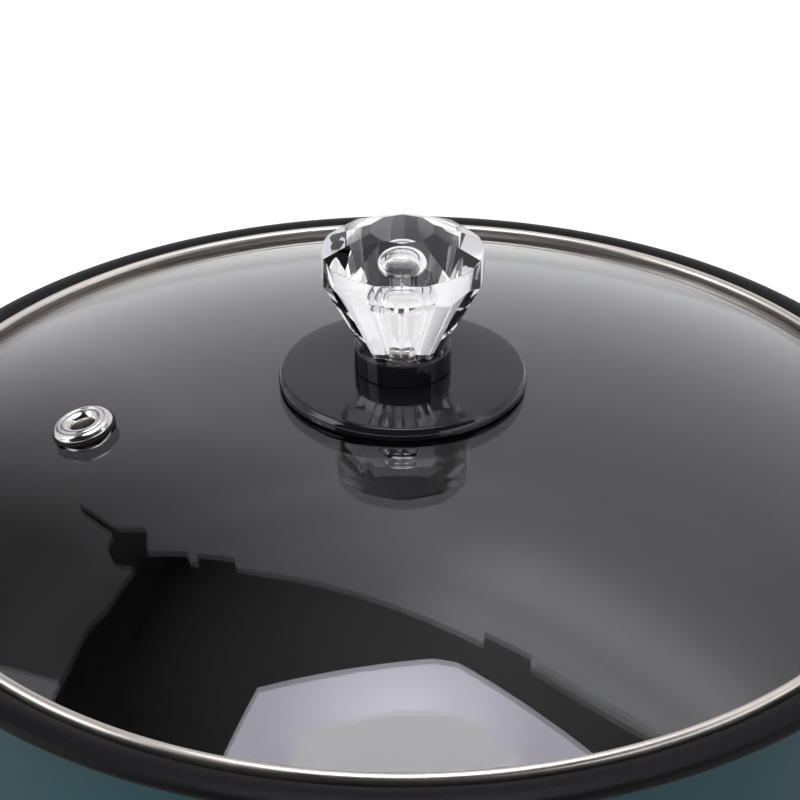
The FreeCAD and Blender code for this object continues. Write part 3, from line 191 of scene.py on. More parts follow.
@dataclass(frozen=True)
class Finish:
    """A surface, named for its material and for how it was made. Each kind adds depth_mm and inputs()."""

    name: str
    colour: str

    def build(self) -> Material:
        """Makes the material, with the finish's relief as a bump.

        Returns:
            The material.
        """
        material, tree, surface = blank(self.name)
        inputs = {"Base Color": linear(self.colour), **self.inputs(tree)}
        height = inputs.pop("Height")
        if self.depth_mm:
            bump = {"Height": height, "Distance": self.depth_mm * MM, "Strength": 1.0}
            inputs["Normal"] = add(tree, "Bump", bump)
        tree.links.new(add(tree, "BsdfPrincipled", inputs), surface)
        return material


@dataclass(frozen=True)
class SprayedNonStick(Finish):
    """PTFE-type non-stick coating sprayed on cast aluminium."""

    name: str = "sprayed_non_stick"
    colour: str = "0C0C0D"
    fleck_and_glint: str = "6E6E72"
    roughness: Pair = (0.38, 0.55)
    grain_mm: float = 0.55
    depth_mm: float = 0.05
    fleck_glint_mm: float = 1.1
    fleck_glint_patch_mm: float = 3.5

    def inputs(self, tree: Tree) -> Inputs:
        """Near black, with a dry spray grain and, in patches, pale flecks: partly the coating's own specks,
        partly painted glints.

        Args:
            tree: the material's node tree.

        Returns:
            The shader's inputs, with the relief as Height.
        """
        fine = grain(tree, self.grain_mm, 4.0)
        cells = {"Vector": add(tree, "TexCoord", out="Object"), "Scale": per_mm(self.fleck_glint_mm)}
        fleck_glint_spots = add(tree, "MapRange", (add(tree, "TexVoronoi", cells), 0.06, 0.16, 1.0, 0.0))
        fleck_glint_patches = add(tree, "MapRange", (grain(tree, self.fleck_glint_patch_mm, 2.0), 0.55, 0.72, 0.0, 1.0))
        fleck_glint_mask = add(tree, "Math", (fleck_glint_spots, fleck_glint_patches), operation="MULTIPLY")
        # Pale flecks in patches: partly real specks in the coating, partly painted glints of the softbox.
        two = {"Factor": fleck_glint_mask, "A": linear(self.colour), "B": linear(self.fleck_and_glint)}
        return {
            "Base Color": add(tree, "Mix", two, "Result", data_type="RGBA"),
            "Roughness": add(tree, "MapRange", (fine, *CALM, *self.roughness)),
            "Height": fine,
            "IOR": 1.36,
            "Specular IOR Level": 0.22,
        }


@dataclass(frozen=True)
class SprayedEnamel(Finish):
    """Satin enamel sprayed and baked on steel sheet."""

    name: str = "baked_enamel_teal"
    colour: str = "2C4A51"
    shade: str = "28444A"
    peel_mm: float = 1.6
    cloud_mm: float = 40.0
    depth_mm: float = 0.012
    roughness: Pair = (0.44, 0.52)

    def inputs(self, tree: Tree) -> Inputs:
        """Orange peel softens the reflections, so the sheet looks sprayed and not dipped.

        Args:
            tree: the material's node tree.

        Returns:
            The shader's inputs, with the relief as Height.
        """
        peel = grain(tree, self.peel_mm, 2.0)
        cloud = grain(tree, self.cloud_mm, 2.0)
        two = {"Factor": cloud, "A": linear(self.colour), "B": linear(self.shade)}
        return {
            "Base Color": add(tree, "Mix", two, "Result", data_type="RGBA"),
            "Roughness": add(tree, "MapRange", (peel, *CALM, *self.roughness)),
            "Height": peel,
            "IOR": 1.5,
            "Specular IOR Level": 0.1,
        }


@dataclass(frozen=True)
class MouldedPlastic(Finish):
    """Plastic, rubber, lamp glass or ceramic, shaped in a spark-eroded or polished mould."""

    name: str = "moulded_pp_black"
    colour: str = "1A1A1C"
    roughness: Pair = (0.42, 0.52)
    grain_mm: float = 0.35
    depth_mm: float = 0.02
    ior: float = 1.49
    cloud_mm: float = 18.0
    dulling: float = 0.82

    def inputs(self, tree: Tree) -> Inputs:
        """The mould's fine grain breaks the highlight into a soft sheen.

        Args:
            tree: the material's node tree.

        Returns:
            The shader's inputs, with the relief as Height.
        """
        fine = grain(tree, self.grain_mm, 2.0)
        broad = grain(tree, self.cloud_mm, 2.0)
        lit = linear(self.colour)
        two = {"Factor": broad, "A": lit, "B": (*(self.dulling * part for part in lit[:3]), 1.0)}
        return {
            "Base Color": add(tree, "Mix", two, "Result", data_type="RGBA"),
            "Roughness": add(tree, "MapRange", (broad, *CALM, *self.roughness)),
            "Height": fine,
            "IOR": self.ior,
        }


@dataclass(frozen=True)
class Metal(Finish):
    """Bare, plated or rolled metal with an even, slightly clouded surface."""

    roughness: Pair
    cloud_mm: float = 6.0
    grain_mm: float = 0.4
    depth_mm: float = 0.0

    def inputs(self, tree: Tree) -> Inputs:
        """Clouding from handling shifts the gloss a little from place to place.

        Args:
            tree: the material's node tree.

        Returns:
            The shader's inputs, with the relief as Height.
        """
        return {
            "Metallic": 1.0,
            "Roughness": add(tree, "MapRange", (grain(tree, self.cloud_mm), *CALM, *self.roughness)),
            "Height": grain(tree, self.grain_mm),
        }


@dataclass(frozen=True)
class SpunSteel(Finish):
    """18/8 stainless strip, rolled to a rim and brushed round on a lathe."""

    name: str = "spun_stainless"
    colour: str = "D6CFC6"
    roughness: Pair = (0.28, 0.44)
    line_mm: float = 0.18
    stretch: float = 90.0
    rim_mm: float = 140.0
    depth_mm: float = 0.006

    def inputs(self, tree: Tree) -> Inputs:
        """Brush lines run round the rim, so highlights streak along it.

        Args:
            tree: the material's node tree.

        Returns:
            The shader's inputs, with the relief as Height.
        """
        place = add(tree, "SeparateXYZ", (add(tree, "TexCoord", out="Object"),)).node.outputs
        flat = add(tree, "CombineXYZ", (place["X"], place["Y"]))
        radius = add(tree, "VectorMath", (flat,), "Value", operation="LENGTH")
        across = add(tree, "CombineXYZ", {"Z": add(tree, "Math", (radius, place["Z"]), operation="ADD")})
        around = add(tree, "VectorMath", (flat,), operation="NORMALIZE")
        ring = self.rim_mm * MM / self.stretch
        along = add(tree, "VectorMath", (around, (ring, ring, ring), across), operation="MULTIPLY_ADD")
        lines = add(tree, "TexNoise", {"Vector": along, "Scale": per_mm(self.line_mm), "Detail": 4.0,
                                       "Roughness": 0.65})
        return {
            "Metallic": 1.0,
            "Roughness": add(tree, "MapRange", (lines, *CALM, *self.roughness)),
            "Height": lines,
        }


@dataclass(frozen=True)
class ClearBody(Finish):
    """Clear glass with a fire-polished or ground and polished surface."""

    ior: float
    roughness: float = 0.0
    wave_mm: float = 60.0
    depth_mm: float = 0.01

    def inputs(self, tree: Tree) -> Inputs:
        """Real refraction shows what lies under and behind, and both faces reflect the room.

        Args:
            tree: the material's node tree.

        Returns:
            The shader's inputs, with the relief as Height.
        """
        return {
            "Roughness": self.roughness,
            "Transmission Weight": 1.0,
            "IOR": self.ior,
            "Height": grain(tree, self.wave_mm, 1.0),
        }


@dataclass(frozen=True)
class GlossLacquer(Finish):
    """Black phenolic, pressed in a polished tool and buffed."""

    name: str = "buffed_phenolic_black"
    colour: str = "17171B"
    roughness: Pair = (0.03, 0.09)
    ior: float = 1.5
    wipe_mm: float = 7.0
    wave_mm: float = 9.0
    depth_mm: float = 0.004

    def inputs(self, tree: Tree) -> Inputs:
        """A deep gloss, whose mirror faint wipe marks dull in soft patches.

        Args:
            tree: the material's node tree.

        Returns:
            The shader's inputs, with the relief as Height.
        """
        return {
            "Roughness": add(tree, "MapRange", (grain(tree, self.wipe_mm), *CALM, *self.roughness)),
            "Height": grain(tree, self.wave_mm, 1.0),
            "IOR": self.ior,
        }


FINISHES = {
    # dry black; its pale flecks are partly the coating's specks and partly painted glints, which give sparks
    # along the rim's ridge
    "pot_coating": SprayedNonStick(),
    # a quiet, deep teal without sharp reflections
    "shell_teal": SprayedEnamel(),
    # soft black with a broad, dull sheen
    "trim_black": MouldedPlastic(),
    # a tighter highlight than the trim, so the dial stands out
    "dial_black": MouldedPlastic("moulded_abs_satin", "141416", (0.22, 0.32), 0.5, 0.006, 1.53),
    # nearly clear, with soft-edged mirror images of the studio
    "lid_glass": ClearBody("tempered_float_glass", "F6F6F6", 1.52, 0.012),
    # warm grey streaks that follow the rim
    "lid_steel": SpunSteel(),
    # bright, with rounded, slightly blurred glints
    "eyelet_steel": Metal("tumbled_stainless", "E4E1DD", (0.15, 0.25), 4.0),
    # hard sparkles and dark facets side by side
    "crystal": ClearBody("diamond_cut_crystal", "FFFFFF", 1.52),
    # a black mirror
    "knob_black": GlossLacquer(),
    # matt black that stays in the background
    "silicone": MouldedPlastic("moulded_silicone", "131314", (0.55, 0.65), 0.6, 0.01, 1.41),
    # the dullest black of all
    "foot_rubber": MouldedPlastic("moulded_rubber", "161617", (0.70, 0.82), 0.5, 0.03, 1.5),
    # a sharp, bright line round the dial
    "bright_trim": Metal("nickel_chrome_plate", "DADADA", (0.04, 0.10), 8.0),
    # cool grey with a cloudy shine
    "steel_plain": Metal("zinc_plated_steel", "B9BABA", (0.25, 0.42), 3.0, 0.3, 0.004),
    # warm yellow glints on small fittings
    "brass_plain": Metal("turned_brass", "C9A15A", (0.18, 0.30), 3.0, 0.25, 0.004),
    # pale, matt grey with a cast skin
    "heater_alloy": Metal("die_cast_aluminium", "A9A9A6", (0.45, 0.62), 5.0, 0.8, 0.03),
    # brown-grey, as after many heatings
    "element_sheath": Metal("heat_darkened_alloy", "5A5450", (0.35, 0.5), 6.0, 0.4, 0.01),
    # a bright sheet with soft mirror images
    "shield_bright": Metal("rolled_aluminium_sheet", "D0D1D2", (0.14, 0.26), 12.0, 0.5, 0.003),
    # off-white and chalky
    "ceramic_white": MouldedPlastic("pressed_steatite", "E6E3DA", (0.5, 0.62), 0.4, 0.02, 1.6),
    # a glossy orange point beside the dial
    "lens_amber": MouldedPlastic("moulded_pc_amber", "C04A12", (0.08, 0.14), 1.0, 0.004, 1.58),
    # a small pale bulb with a smooth skin
    "lamp_clear": MouldedPlastic("lamp_glass", "E8C7A8", (0.05, 0.10), 1.0, 0.0, 1.5),
}


@cache
def finish_of(slot: str) -> Material:
    """The material of a record slot, made once."""
    return FINISHES[slot].build()


# ---------------- modelling helpers


def extent(node: str) -> tuple[float, float, float]:
    """Outer radius, lowest and highest point of a CAD node that stands on the axis, in millimetres."""
    low, high = (Vector(corner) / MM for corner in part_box(node))
    return high.x, low.z, high.z


class Outline:
    """Section of a turned piece, as points of radius and height in millimetres."""

    def __init__(self, radius: float, height: float) -> None:
        """Starts the section at a point."""
        self.points = [(radius, height)]

    def line(self, radius: float, height: float) -> "Outline":
        """Goes straight to a point."""
        self.points.append((radius, height))
        return self

    def arc(self, via: Pair, to: Pair, steps: int) -> "Outline":
        """Goes to a point on the circle through via.

        Args:
            via: a point on the arc.
            to: the arc's end.
            steps: how many chords stand for it.

        Returns:
            The same outline.
        """
        (ax, ay), (bx, by), (cx, cy) = self.points[-1], via, to
        d = 2 * (ax * (by - cy) + bx * (cy - ay) + cx * (ay - by))
        a2, b2, c2 = ax * ax + ay * ay, bx * bx + by * by, cx * cx + cy * cy
        ux = (a2 * (by - cy) + b2 * (cy - ay) + c2 * (ay - by)) / d
        uy = (a2 * (cx - bx) + b2 * (ax - cx) + c2 * (bx - ax)) / d
        start = atan2(ay - uy, ax - ux)
        middle = atan2(by - uy, bx - ux)
        end = atan2(cy - uy, cx - ux)
        first = (middle - start + pi) % tau - pi
        second = (end - middle + pi) % tau - pi
        radius = hypot(ax - ux, ay - uy)
        for step in range(1, steps + 1):
            angle = start + (first + second) * step / steps
            self.points.append((ux + radius * cos(angle), uy + radius * sin(angle)))
        self.points[-1] = to
        return self

    def quarter(self, centre: Pair, to: Pair, steps: int) -> "Outline":
        """Goes to a point on the short arc about a centre.

        Args:
            centre: the arc's centre.
            to: the arc's end.
            steps: how many chords stand for it.

        Returns:
            The same outline.
        """
        start = self.points[-1]
        radius = hypot(to[0] - centre[0], to[1] - centre[1])
        along = (start[0] + to[0]) / 2 - centre[0]
        up = (start[1] + to[1]) / 2 - centre[1]
        grow = radius / hypot(along, up)
        return self.arc((centre[0] + along * grow, centre[1] + up * grow), to, steps)

    def bulge(self, to: Pair, sag: float, steps: int) -> "Outline":
        """Goes to a point on a flat arc.

        Args:
            to: the arc's end.
            sag: how far its middle stands to the left of its chord.
            steps: how many chords stand for it.

        Returns:
            The same outline.
        """
        start = self.points[-1]
        along = to[0] - start[0]
        up = to[1] - start[1]
        chord = hypot(along, up)
        via = ((start[0] + to[0]) / 2 - up / chord * sag, (start[1] + to[1]) / 2 + along / chord * sag)
        return self.arc(via, to, steps)

    def dome(self, sphere: float, centre: float, radius: float, steps: int) -> "Outline":
        """Follows a sphere about the axis to another radius.

        Args:
            sphere: the sphere's radius.
            centre: height of its centre.
            radius: where the stretch ends.
            steps: how many chords stand for it.

        Returns:
            The same outline.
        """
        start = self.points[-1][0]
        for step in range(1, steps + 1):
            here = start + (radius - start) * step / steps
            self.points.append((here, centre + sqrt(sphere ** 2 - here ** 2)))
        return self


def clear_selection() -> None:
    """Leaves edit mode and deselects everything."""
    if bpy.context.object and bpy.context.object.mode != "OBJECT":
        bpy.ops.object.mode_set(mode="OBJECT")
    bpy.ops.object.select_all(action="DESELECT")


def select_only(piece: Piece) -> None:
    """Makes one object the only selected and the active one.

    Args:
        piece: the object.
    """
    clear_selection()
    bpy.context.view_layer.objects.active = piece
    piece.select_set(True)


def settle(piece: Piece) -> None:
    """Puts a piece's place into its mesh, so that its object sits at the origin."""
    select_only(piece)
    bpy.ops.object.transform_apply(location=True, rotation=True, scale=True)


def turned(name: str, outline: Outline, steps: Steps) -> Piece:
    """Spins a section round the Z axis, after joining its last point to its first.

    Args:
        name: the piece's name.
        outline: its section.
        steps: how finely it is turned.

    Returns:
        The piece, in metres.
    """
    clear_selection()
    radius, height = outline.points[0]
    bpy.ops.mesh.primitive_plane_add(size=MM, location=(radius * MM, 0.0, height * MM))
    piece = bpy.context.object
    piece.name = name
    piece.data.name = name
    bpy.ops.object.mode_set(mode="EDIT")
    bpy.ops.mesh.merge(type="CENTER")
    for to_radius, to_height in outline.points[1:] + outline.points[:1]:
        step = ((to_radius - radius) * MM, 0.0, (to_height - height) * MM)
        bpy.ops.mesh.extrude_region_move(TRANSFORM_OT_translate={"value": step})
        radius, height = to_radius, to_height
    bpy.ops.mesh.select_all(action="SELECT")
    bpy.ops.mesh.spin(steps=steps.value, angle=tau, center=(0, 0, 0), axis=(0, 0, 1))
    bpy.ops.mesh.select_all(action="SELECT")
    bpy.ops.mesh.remove_doubles(threshold=WELD_MM * MM)
    bpy.ops.mesh.normals_make_consistent(inside=False)
    settle(piece)
    return piece


def cut_away(piece: Piece, tool: Piece) -> None:
    """Takes a tool's shape out of a piece and deletes the tool.

    Args:
        piece: what is cut.
        tool: the closed shape that is taken out.
    """
    select_only(piece)
    cut = piece.modifiers.new("cut", "BOOLEAN")
    cut.operation = "DIFFERENCE"
    cut.object = tool
    bpy.ops.object.modifier_apply(modifier=cut.name)
    bpy.data.objects.remove(tool)


def dress(piece: Piece, slot: str, body: str, node: str, crease: float = TURNED_CREASE) -> None:
    """Smooths a piece, gives it its finish and its body, and hides the CAD node that it stands for.

    Args:
        piece: the finished piece.
        slot: the record's slot for its finish.
        body: the body that it moves with.
        node: the CAD node that it replaces.
        crease: turn between faces, in degrees, past which an edge stays sharp.
    """
    select_only(piece)
    bpy.ops.object.shade_smooth_by_angle(angle=radians(crease))
    piece.data.materials.clear()
    piece.data.materials.append(finish_of(slot))
    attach(piece, body)
    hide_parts(node)
    LOG.info("%s: %d faces, finish %s, body %s", piece.name, len(piece.data.polygons), slot, body)


# ---------------- the pot


@dataclass
class Pot:
    """Non-stick bowl with its rolled rim, and the teal shell round it. Sizes in millimetres."""

    mouth_radius: float = 136.5
    draft: float = 3.7
    corner: float = 26.0
    wall: float = 2.5
    floor: float = 4.0
    ledge_width: float = 5.8
    ledge_depth: float = 7.65
    ledge_round: float = 1.0
    recess_wall: float = 2.0
    recess_round: float = 1.5
    rim_thickness: float = 3.95
    lip_round: float = 0.8
    lip_drop: float = 0.35
    shoulder: float = 2.1
    shoulder_drop: float = 0.6
    edge_drop: float = 2.8
    crown: float = 0.47
    under_round: float = 1.0
    under_crown: float = 0.3
    shell_taper: float = 3.8
    shell_bend: float = 44.0
    shell_curve: float = 40.0
    shell_sheet: float = 1.2
    shell_lip: float = 2.6

    def build(self) -> None:
        """Builds and dresses both pieces."""
        self.bowl()
        self.shell()

    def bowl(self) -> None:
        """The bowl: floor, round corner, wall, ledge for the lid and rolled rim."""
        outer, under, top = extent("inner_pot")
        floor = under + self.floor
        ledge = top - self.ledge_depth
        recess = self.mouth_radius + self.ledge_width
        foot = self.mouth_radius - self.draft
        bend = floor + self.corner
        bowl = Outline(0.0, floor)
        bowl.line(foot - self.corner, floor)
        bowl.quarter((foot - self.corner, bend), (foot, bend), 16)
        bowl.line(self.mouth_radius, ledge - self.ledge_round)
        bowl.quarter((self.mouth_radius + self.ledge_round, ledge - self.ledge_round),
                     (self.mouth_radius + self.ledge_round, ledge), 4)
        bowl.line(recess, ledge)
        lip = (recess + self.lip_round, top - self.lip_drop - self.lip_round)
        bowl.line(recess, lip[1])
        bowl.quarter(lip, (lip[0], top - self.lip_drop), 6)
        bowl.bulge((outer - self.shoulder, top - self.shoulder_drop), self.crown, 10)
        bowl.bulge((outer, top - self.edge_drop), self.crown, 8)
        rim_under = top - self.rim_thickness
        bowl.bulge((outer - self.under_round, rim_under), self.under_crown, 4)
        step = ledge - self.wall
        wall = recess + self.recess_wall
        bowl.line(wall, rim_under)
        heel = (wall - self.recess_round, step + self.recess_round)
        bowl.line(wall, heel[1])
        bowl.quarter(heel, (heel[0], step), 4)
        bowl.line(self.mouth_radius + self.wall, step)
        corner = self.corner + self.wall
        foot += self.wall
        bowl.line(foot, under + corner)
        bowl.quarter((foot - corner, under + corner), (foot - corner, under), 10)
        bowl.line(0.0, under)
        dress(turned("pot_bowl", bowl, Steps.LARGE), "pot_coating", "base", "inner_pot")

    def shell(self) -> None:
        """The teal wall: slightly tapered, curving in at its foot, with a lip under the rim."""
        top_radius, foot, top = extent("outer_shell")
        bend_radius = top_radius - self.shell_taper
        taper = atan2(self.shell_taper, top - self.shell_bend)
        centre = bend_radius - self.shell_curve * cos(taper)
        level = self.shell_bend + self.shell_curve * sin(taper)

        def curve(inset: float, share: float) -> Pair:
            """Places a point on the bottom curve.

            Args:
                inset: how far inside the outer face it lies.
                share: the way along the curve, from the foot at 0 to the bend at 1.

            Returns:
                The point's radius and height.
            """
            radius = self.shell_curve - inset
            low = -asin((level - foot) / radius)
            angle = low + share * (-taper - low)
            return centre + radius * cos(angle), level + radius * sin(angle)

        inset = self.shell_sheet
        shell = Outline(top_radius, top)
        shell.line(*curve(0.0, 1.0))
        shell.arc(curve(0.0, 0.5), curve(0.0, 0.0), 20)
        shell.line(*curve(inset, 0.0))
        shell.arc(curve(inset, 0.5), curve(inset, 1.0), 12)
        shell.line(top_radius - inset, top - inset)
        shell.line(top_radius - self.shell_lip, top - inset)
        shell.line(top_radius - self.shell_lip, top)
        dress(turned("shell_wall", shell, Steps.LARGE), "shell_teal", "base", "outer_shell")


# ---------------- the lid


@dataclass(frozen=True)
class Eyelet:
    """Section of the vent's rolled eyelet, with the glass's upper face at height 0. Sizes in millimetres."""

    seat: float = 0.6
    top: float = 2.8
    flange: float = 8.2
    hem: float = 0.5
    edge: float = 0.35
    brow: float = 1.1
    crest: float = 6.2
    step: float = 0.15
    dish: float = 1.0
    dish_drop: float = 0.25
    dish_sag: float = 0.36
    throat: float = 3.1
    throat_drop: float = 1.8
    barrel: float = 4.4
    collar: float = 6.6
    roll: float = 0.6
    play: float = 0.35


@dataclass
class Lid:
    """Domed glass in its rolled steel rim, with the steam vent. Sizes in millimetres."""

    dome: float = 375.0
    thickness: float = 4.0
    edge_radius: float = 140.6
    centre_hole: float = 5.0
    bead: float = 1.6
    bead_rise: float = 1.2
    bead_tuck: float = 0.4
    bead_height: float = 130.6
    sheet: float = 0.6
    lip: float = 3.6
    hem: float = 1.0
    bond: float = 0.05
    vent_circle: float = 85.25
    vent_azimuth: float = 188.05
    vent_hole: float = 4.8
    vent: Eyelet = Eyelet()

    def __post_init__(self) -> None:
        """Finds the dome's centre from the glass in the frame."""
        apex = extent("lid_glass")[2] + self.centre_hole ** 2 / (2 * self.dome)
        self.centre = apex - self.dome

    def build(self) -> None:
        """Builds and dresses the glass, the rim and the vent."""
        self.glass()
        self.rim()
        self.eyelet()

    def over(self, radius: float) -> float:
        """Height of the glass's upper face at a radius."""
        return self.centre + sqrt(self.dome ** 2 - radius ** 2)

    def under(self, radius: float) -> float:
        """Height of the glass's lower face at a radius."""
        return self.centre + sqrt((self.dome - self.thickness) ** 2 - radius ** 2)

    def on_glass(self, piece: Piece) -> None:
        """Stands a piece, turned about Z with the glass at height 0, square on the dome at the vent.

        Args:
            piece: the piece that is moved.
        """
        lean = asin(self.vent_circle / self.dome)
        piece.matrix_world = (Matrix.Rotation(radians(self.vent_azimuth), 4, "Z")
                              @ Matrix.Translation((0, 0, self.centre * MM))
                              @ Matrix.Rotation(lean, 4, "Y")
                              @ Matrix.Translation((0, 0, self.dome * MM)))
        settle(piece)

    def glass(self) -> None:
        """The domed pane with its two holes."""
        pane = Outline(self.centre_hole, self.over(self.centre_hole))
        pane.dome(self.dome, self.centre, self.edge_radius, 40)
        pane.line(self.edge_radius, self.under(self.edge_radius))
        pane.dome(self.dome - self.thickness, self.centre, self.centre_hole, 40)
        piece = turned("lid_pane", pane, Steps.LARGE)
        drill = Outline(0.0, -3 * self.thickness).line(self.vent_hole, -3 * self.thickness)
        drill.line(self.vent_hole, 2 * self.thickness).line(0.0, 2 * self.thickness)
        tool = turned("vent_drill", drill, Steps.SMALL)
        self.on_glass(tool)
        cut_away(piece, tool)
        dress(piece, "lid_glass", "lid", "lid_glass")

    def rim(self) -> None:
        """The steel rim: half-round bead over the glass, channel, and lip under it."""
        outer, bottom, _ = extent("lid_ring")
        inner = outer - 2 * self.bead
        crest = (outer - self.bead_tuck + inner) / 2
        wall = outer - self.sheet
        lip = wall - self.lip
        rim = Outline(outer, bottom)
        rim.line(outer, self.bead_height - self.bead)
        rim.line(outer - self.bead_tuck, self.bead_height)
        rim.arc((crest, self.bead_height + self.bead_rise), (inner, self.bead_height), 16)
        rim.line(inner, self.over(inner) + self.bond)
        rim.line(wall, self.over(wall) + self.bond)
        rim.line(wall, self.under(wall) - self.bond)
        rim.line(lip, self.under(lip) - self.bond)
        rim.line(lip, self.under(lip) - self.bond - self.sheet)
        rim.line(wall - self.hem, bottom)
        dress(turned("lid_rim", rim, Steps.LARGE), "lid_steel", "lid", "lid_ring")

    def eyelet(self) -> None:
        """The vent's rolled eyelet: stepped flange, throat, and its end turned out under the glass."""
        shape = self.vent
        under = -self.thickness - shape.play
        foot = under - 2 * shape.roll
        ring = Outline(shape.flange - shape.hem, shape.seat)
        ring.bulge((shape.flange - shape.edge, shape.seat + shape.brow), -shape.edge, 6)
        ring.bulge((shape.crest, shape.top), -shape.edge, 8)
        ring.line(shape.crest - shape.step, shape.top - shape.step)
        ring.bulge((shape.throat + shape.dish, shape.top - shape.dish_drop), -shape.dish_sag, 8)
        ring.bulge((shape.throat, shape.top - shape.throat_drop), -shape.dish_sag / 2, 8)
        ring.line(shape.throat, foot)
        ring.line(shape.collar - shape.roll, foot)
        ring.arc((shape.collar, under - shape.roll), (shape.collar - shape.roll, under), 6)
        ring.line(shape.barrel, under)
        ring.line(shape.barrel, shape.seat)
        piece = turned("vent_eyelet_rolled", ring, Steps.SMALL)
        self.on_glass(piece)
        dress(piece, "eyelet_steel", "lid", "vent_eyelet", EYELET_CREASE)


# ---------------- the knob


@dataclass
class Knob:
    """Black disc and collar that carry a cut, clear knob on a metal insert. Sizes in millimetres."""

    dome: float = 375.0
    disc_round: float = 2.0
    disc_brow: float = 0.75
    brow_sag: float = 0.19
    disc_break: float = 0.35
    disc_hem: float = 0.3
    disc_edge: float = 3.05
    disc_stand: float = 0.3
    disc_recess: float = 0.6
    recess_radius: float = 29.3
    disc_sag: float = 0.28
    collar_flat: float = 0.4
    hole: float = 2.65
    collar_round: float = 0.5
    collar_hem: float = 0.3
    seat_radius: float = 11.15
    sides: int = 20
    turn: float = -91.5
    foot_radius: float = 10.2
    girdle_low: float = 23.6
    girdle_top: float = 28.9
    crown_slope: float = 25.0
    bore_radius: float = 5.75
    bore_depth: float = 24.3
    neck_radius: float = 3.2
    neck_height: float = 5.0
    cone_height: float = 18.5
    polish: float = 0.08
    insert_bore: float = 2.5
    insert_play: float = 0.05
    insert_foot_edge: float = 0.2
    insert_top_edge: float = 0.3
    groove: float = 0.35
    groove_reach: float = 0.5
    groove_shares: Pair = (0.3, 0.62)

    def build(self) -> None:
        """Builds and dresses the disc, the collar, the crystal and its insert."""
        self.disc()
        self.collar()
        self.crystal()
        self.insert()

    def disc(self) -> None:
        """The disc: shallow domed face, rounded edge, hollow underside."""
        edge, foot, seat_top = extent("knob_disc")
        under = self.dome + self.disc_stand
        centre = foot - sqrt(under ** 2 - (edge - self.disc_hem) ** 2)
        shoulder = centre + sqrt(self.dome ** 2 - edge ** 2) + self.disc_stand + self.disc_edge
        face = edge - self.disc_brow - self.disc_break
        recess = under + self.disc_recess
        disc = Outline(self.hole, centre + sqrt(recess ** 2 - self.hole ** 2))
        disc.dome(recess, centre, self.recess_radius, 12)
        disc.line(self.recess_radius, centre + sqrt(under ** 2 - self.recess_radius ** 2))
        disc.dome(under, centre, edge - self.disc_hem, 3)
        disc.line(edge, centre + sqrt(under ** 2 - edge ** 2) + self.disc_hem)
        disc.line(edge, shoulder - self.disc_round)
        disc.bulge((edge - self.disc_brow, shoulder - self.disc_break), -self.brow_sag, 8)
        disc.bulge((face, shoulder), -self.disc_break / 5, 5)
        disc.bulge((extent("knob_collar")[0] + self.collar_flat, seat_top), -self.disc_sag, 20)
        disc.line(self.hole, seat_top)
        dress(turned("knob_plate", disc, Steps.LARGE), "knob_black", "lid", "knob_disc")

    def collar(self) -> None:
        """The collar, with the shallow seat for the crystal's foot."""
        outer, low, high = extent("knob_collar")
        seat = extent("knob_crystal")[1]
        rounding = self.collar_round
        collar = Outline(self.hole, low)
        collar.line(outer - self.collar_hem, low)
        collar.line(outer, low + self.collar_hem)
        collar.line(outer, high - rounding)
        collar.quarter((outer - rounding, high - rounding), (outer - rounding, high), 6)
        collar.line(self.seat_radius, high)
        collar.line(self.seat_radius, seat)
        collar.line(self.hole, seat)
        dress(turned("knob_ferrule", collar, Steps.MEDIUM), "knob_black", "lid", "knob_collar")

    @staticmethod
    def grind(azimuth: float, tilt: float, radius: float, height: float) -> None:
        """Grinds one flat facet on the blank, which is in its final place and in edit mode.

        Args:
            azimuth: direction that the facet faces, in degrees.
            tilt: how far the facet's normal stands above the horizon, in degrees.
            radius: distance from the axis of a point of the facet, in millimetres.
            height: height of that point, in millimetres.
        """
        turn = radians(azimuth)
        rise = radians(tilt)
        normal = Vector((cos(rise) * cos(turn), cos(rise) * sin(turn), sin(rise)))
        point = Vector((radius * cos(turn), radius * sin(turn), height)) * MM
        bpy.ops.mesh.select_all(action="SELECT")
        bpy.ops.mesh.bisect(plane_co=point, plane_no=normal, use_fill=True, clear_outer=True,
                            threshold=GRIND_SNAP_MM * MM)

    def crystal(self) -> None:
        """The cut knob: twenty-sided girdle, ten pavilion and ten crown facets, small table, blind bore."""
        reach, low, top = extent("knob_crystal")
        height = top - low
        twist = radians(self.turn + 90.0)
        girdle = reach / cos(twist)
        clear_selection()
        bpy.ops.mesh.primitive_cylinder_add(vertices=self.sides, radius=girdle * MM, depth=height * MM,
                                            location=(0, 0, (low + height / 2) * MM))
        gem = bpy.context.object
        gem.name = "knob_gem"
        gem.data.name = "knob_gem"
        gem.rotation_euler.z = twist
        settle(gem)
        bpy.ops.object.mode_set(mode="EDIT")
        step = 720.0 / self.sides
        foot = self.foot_radius * cos(radians(step / 2))
        pavilion = degrees(atan2(foot - girdle, self.girdle_low))
        for index in range(self.sides // 2):
            between = self.turn + step / 2 + index * step
            self.grind(between, pavilion, girdle, low + self.girdle_low)
            self.grind(between, 90.0 - self.crown_slope, girdle, low + self.girdle_top)
        bpy.ops.mesh.select_all(action="SELECT")
        bpy.ops.mesh.normals_make_consistent(inside=False)
        bpy.ops.object.mode_set(mode="OBJECT")
        edges = gem.modifiers.new("polished_edges", "BEVEL")
        edges.width = self.polish * MM
        edges.segments = 2
        edges.limit_method = "ANGLE"
        edges.angle_limit = radians(FACET_TURN)
        bpy.ops.object.modifier_apply(modifier=edges.name)
        cut_away(gem, self.bore_drill(low))
        dress(gem, "crystal", "lid", "knob_crystal", GEM_CREASE)

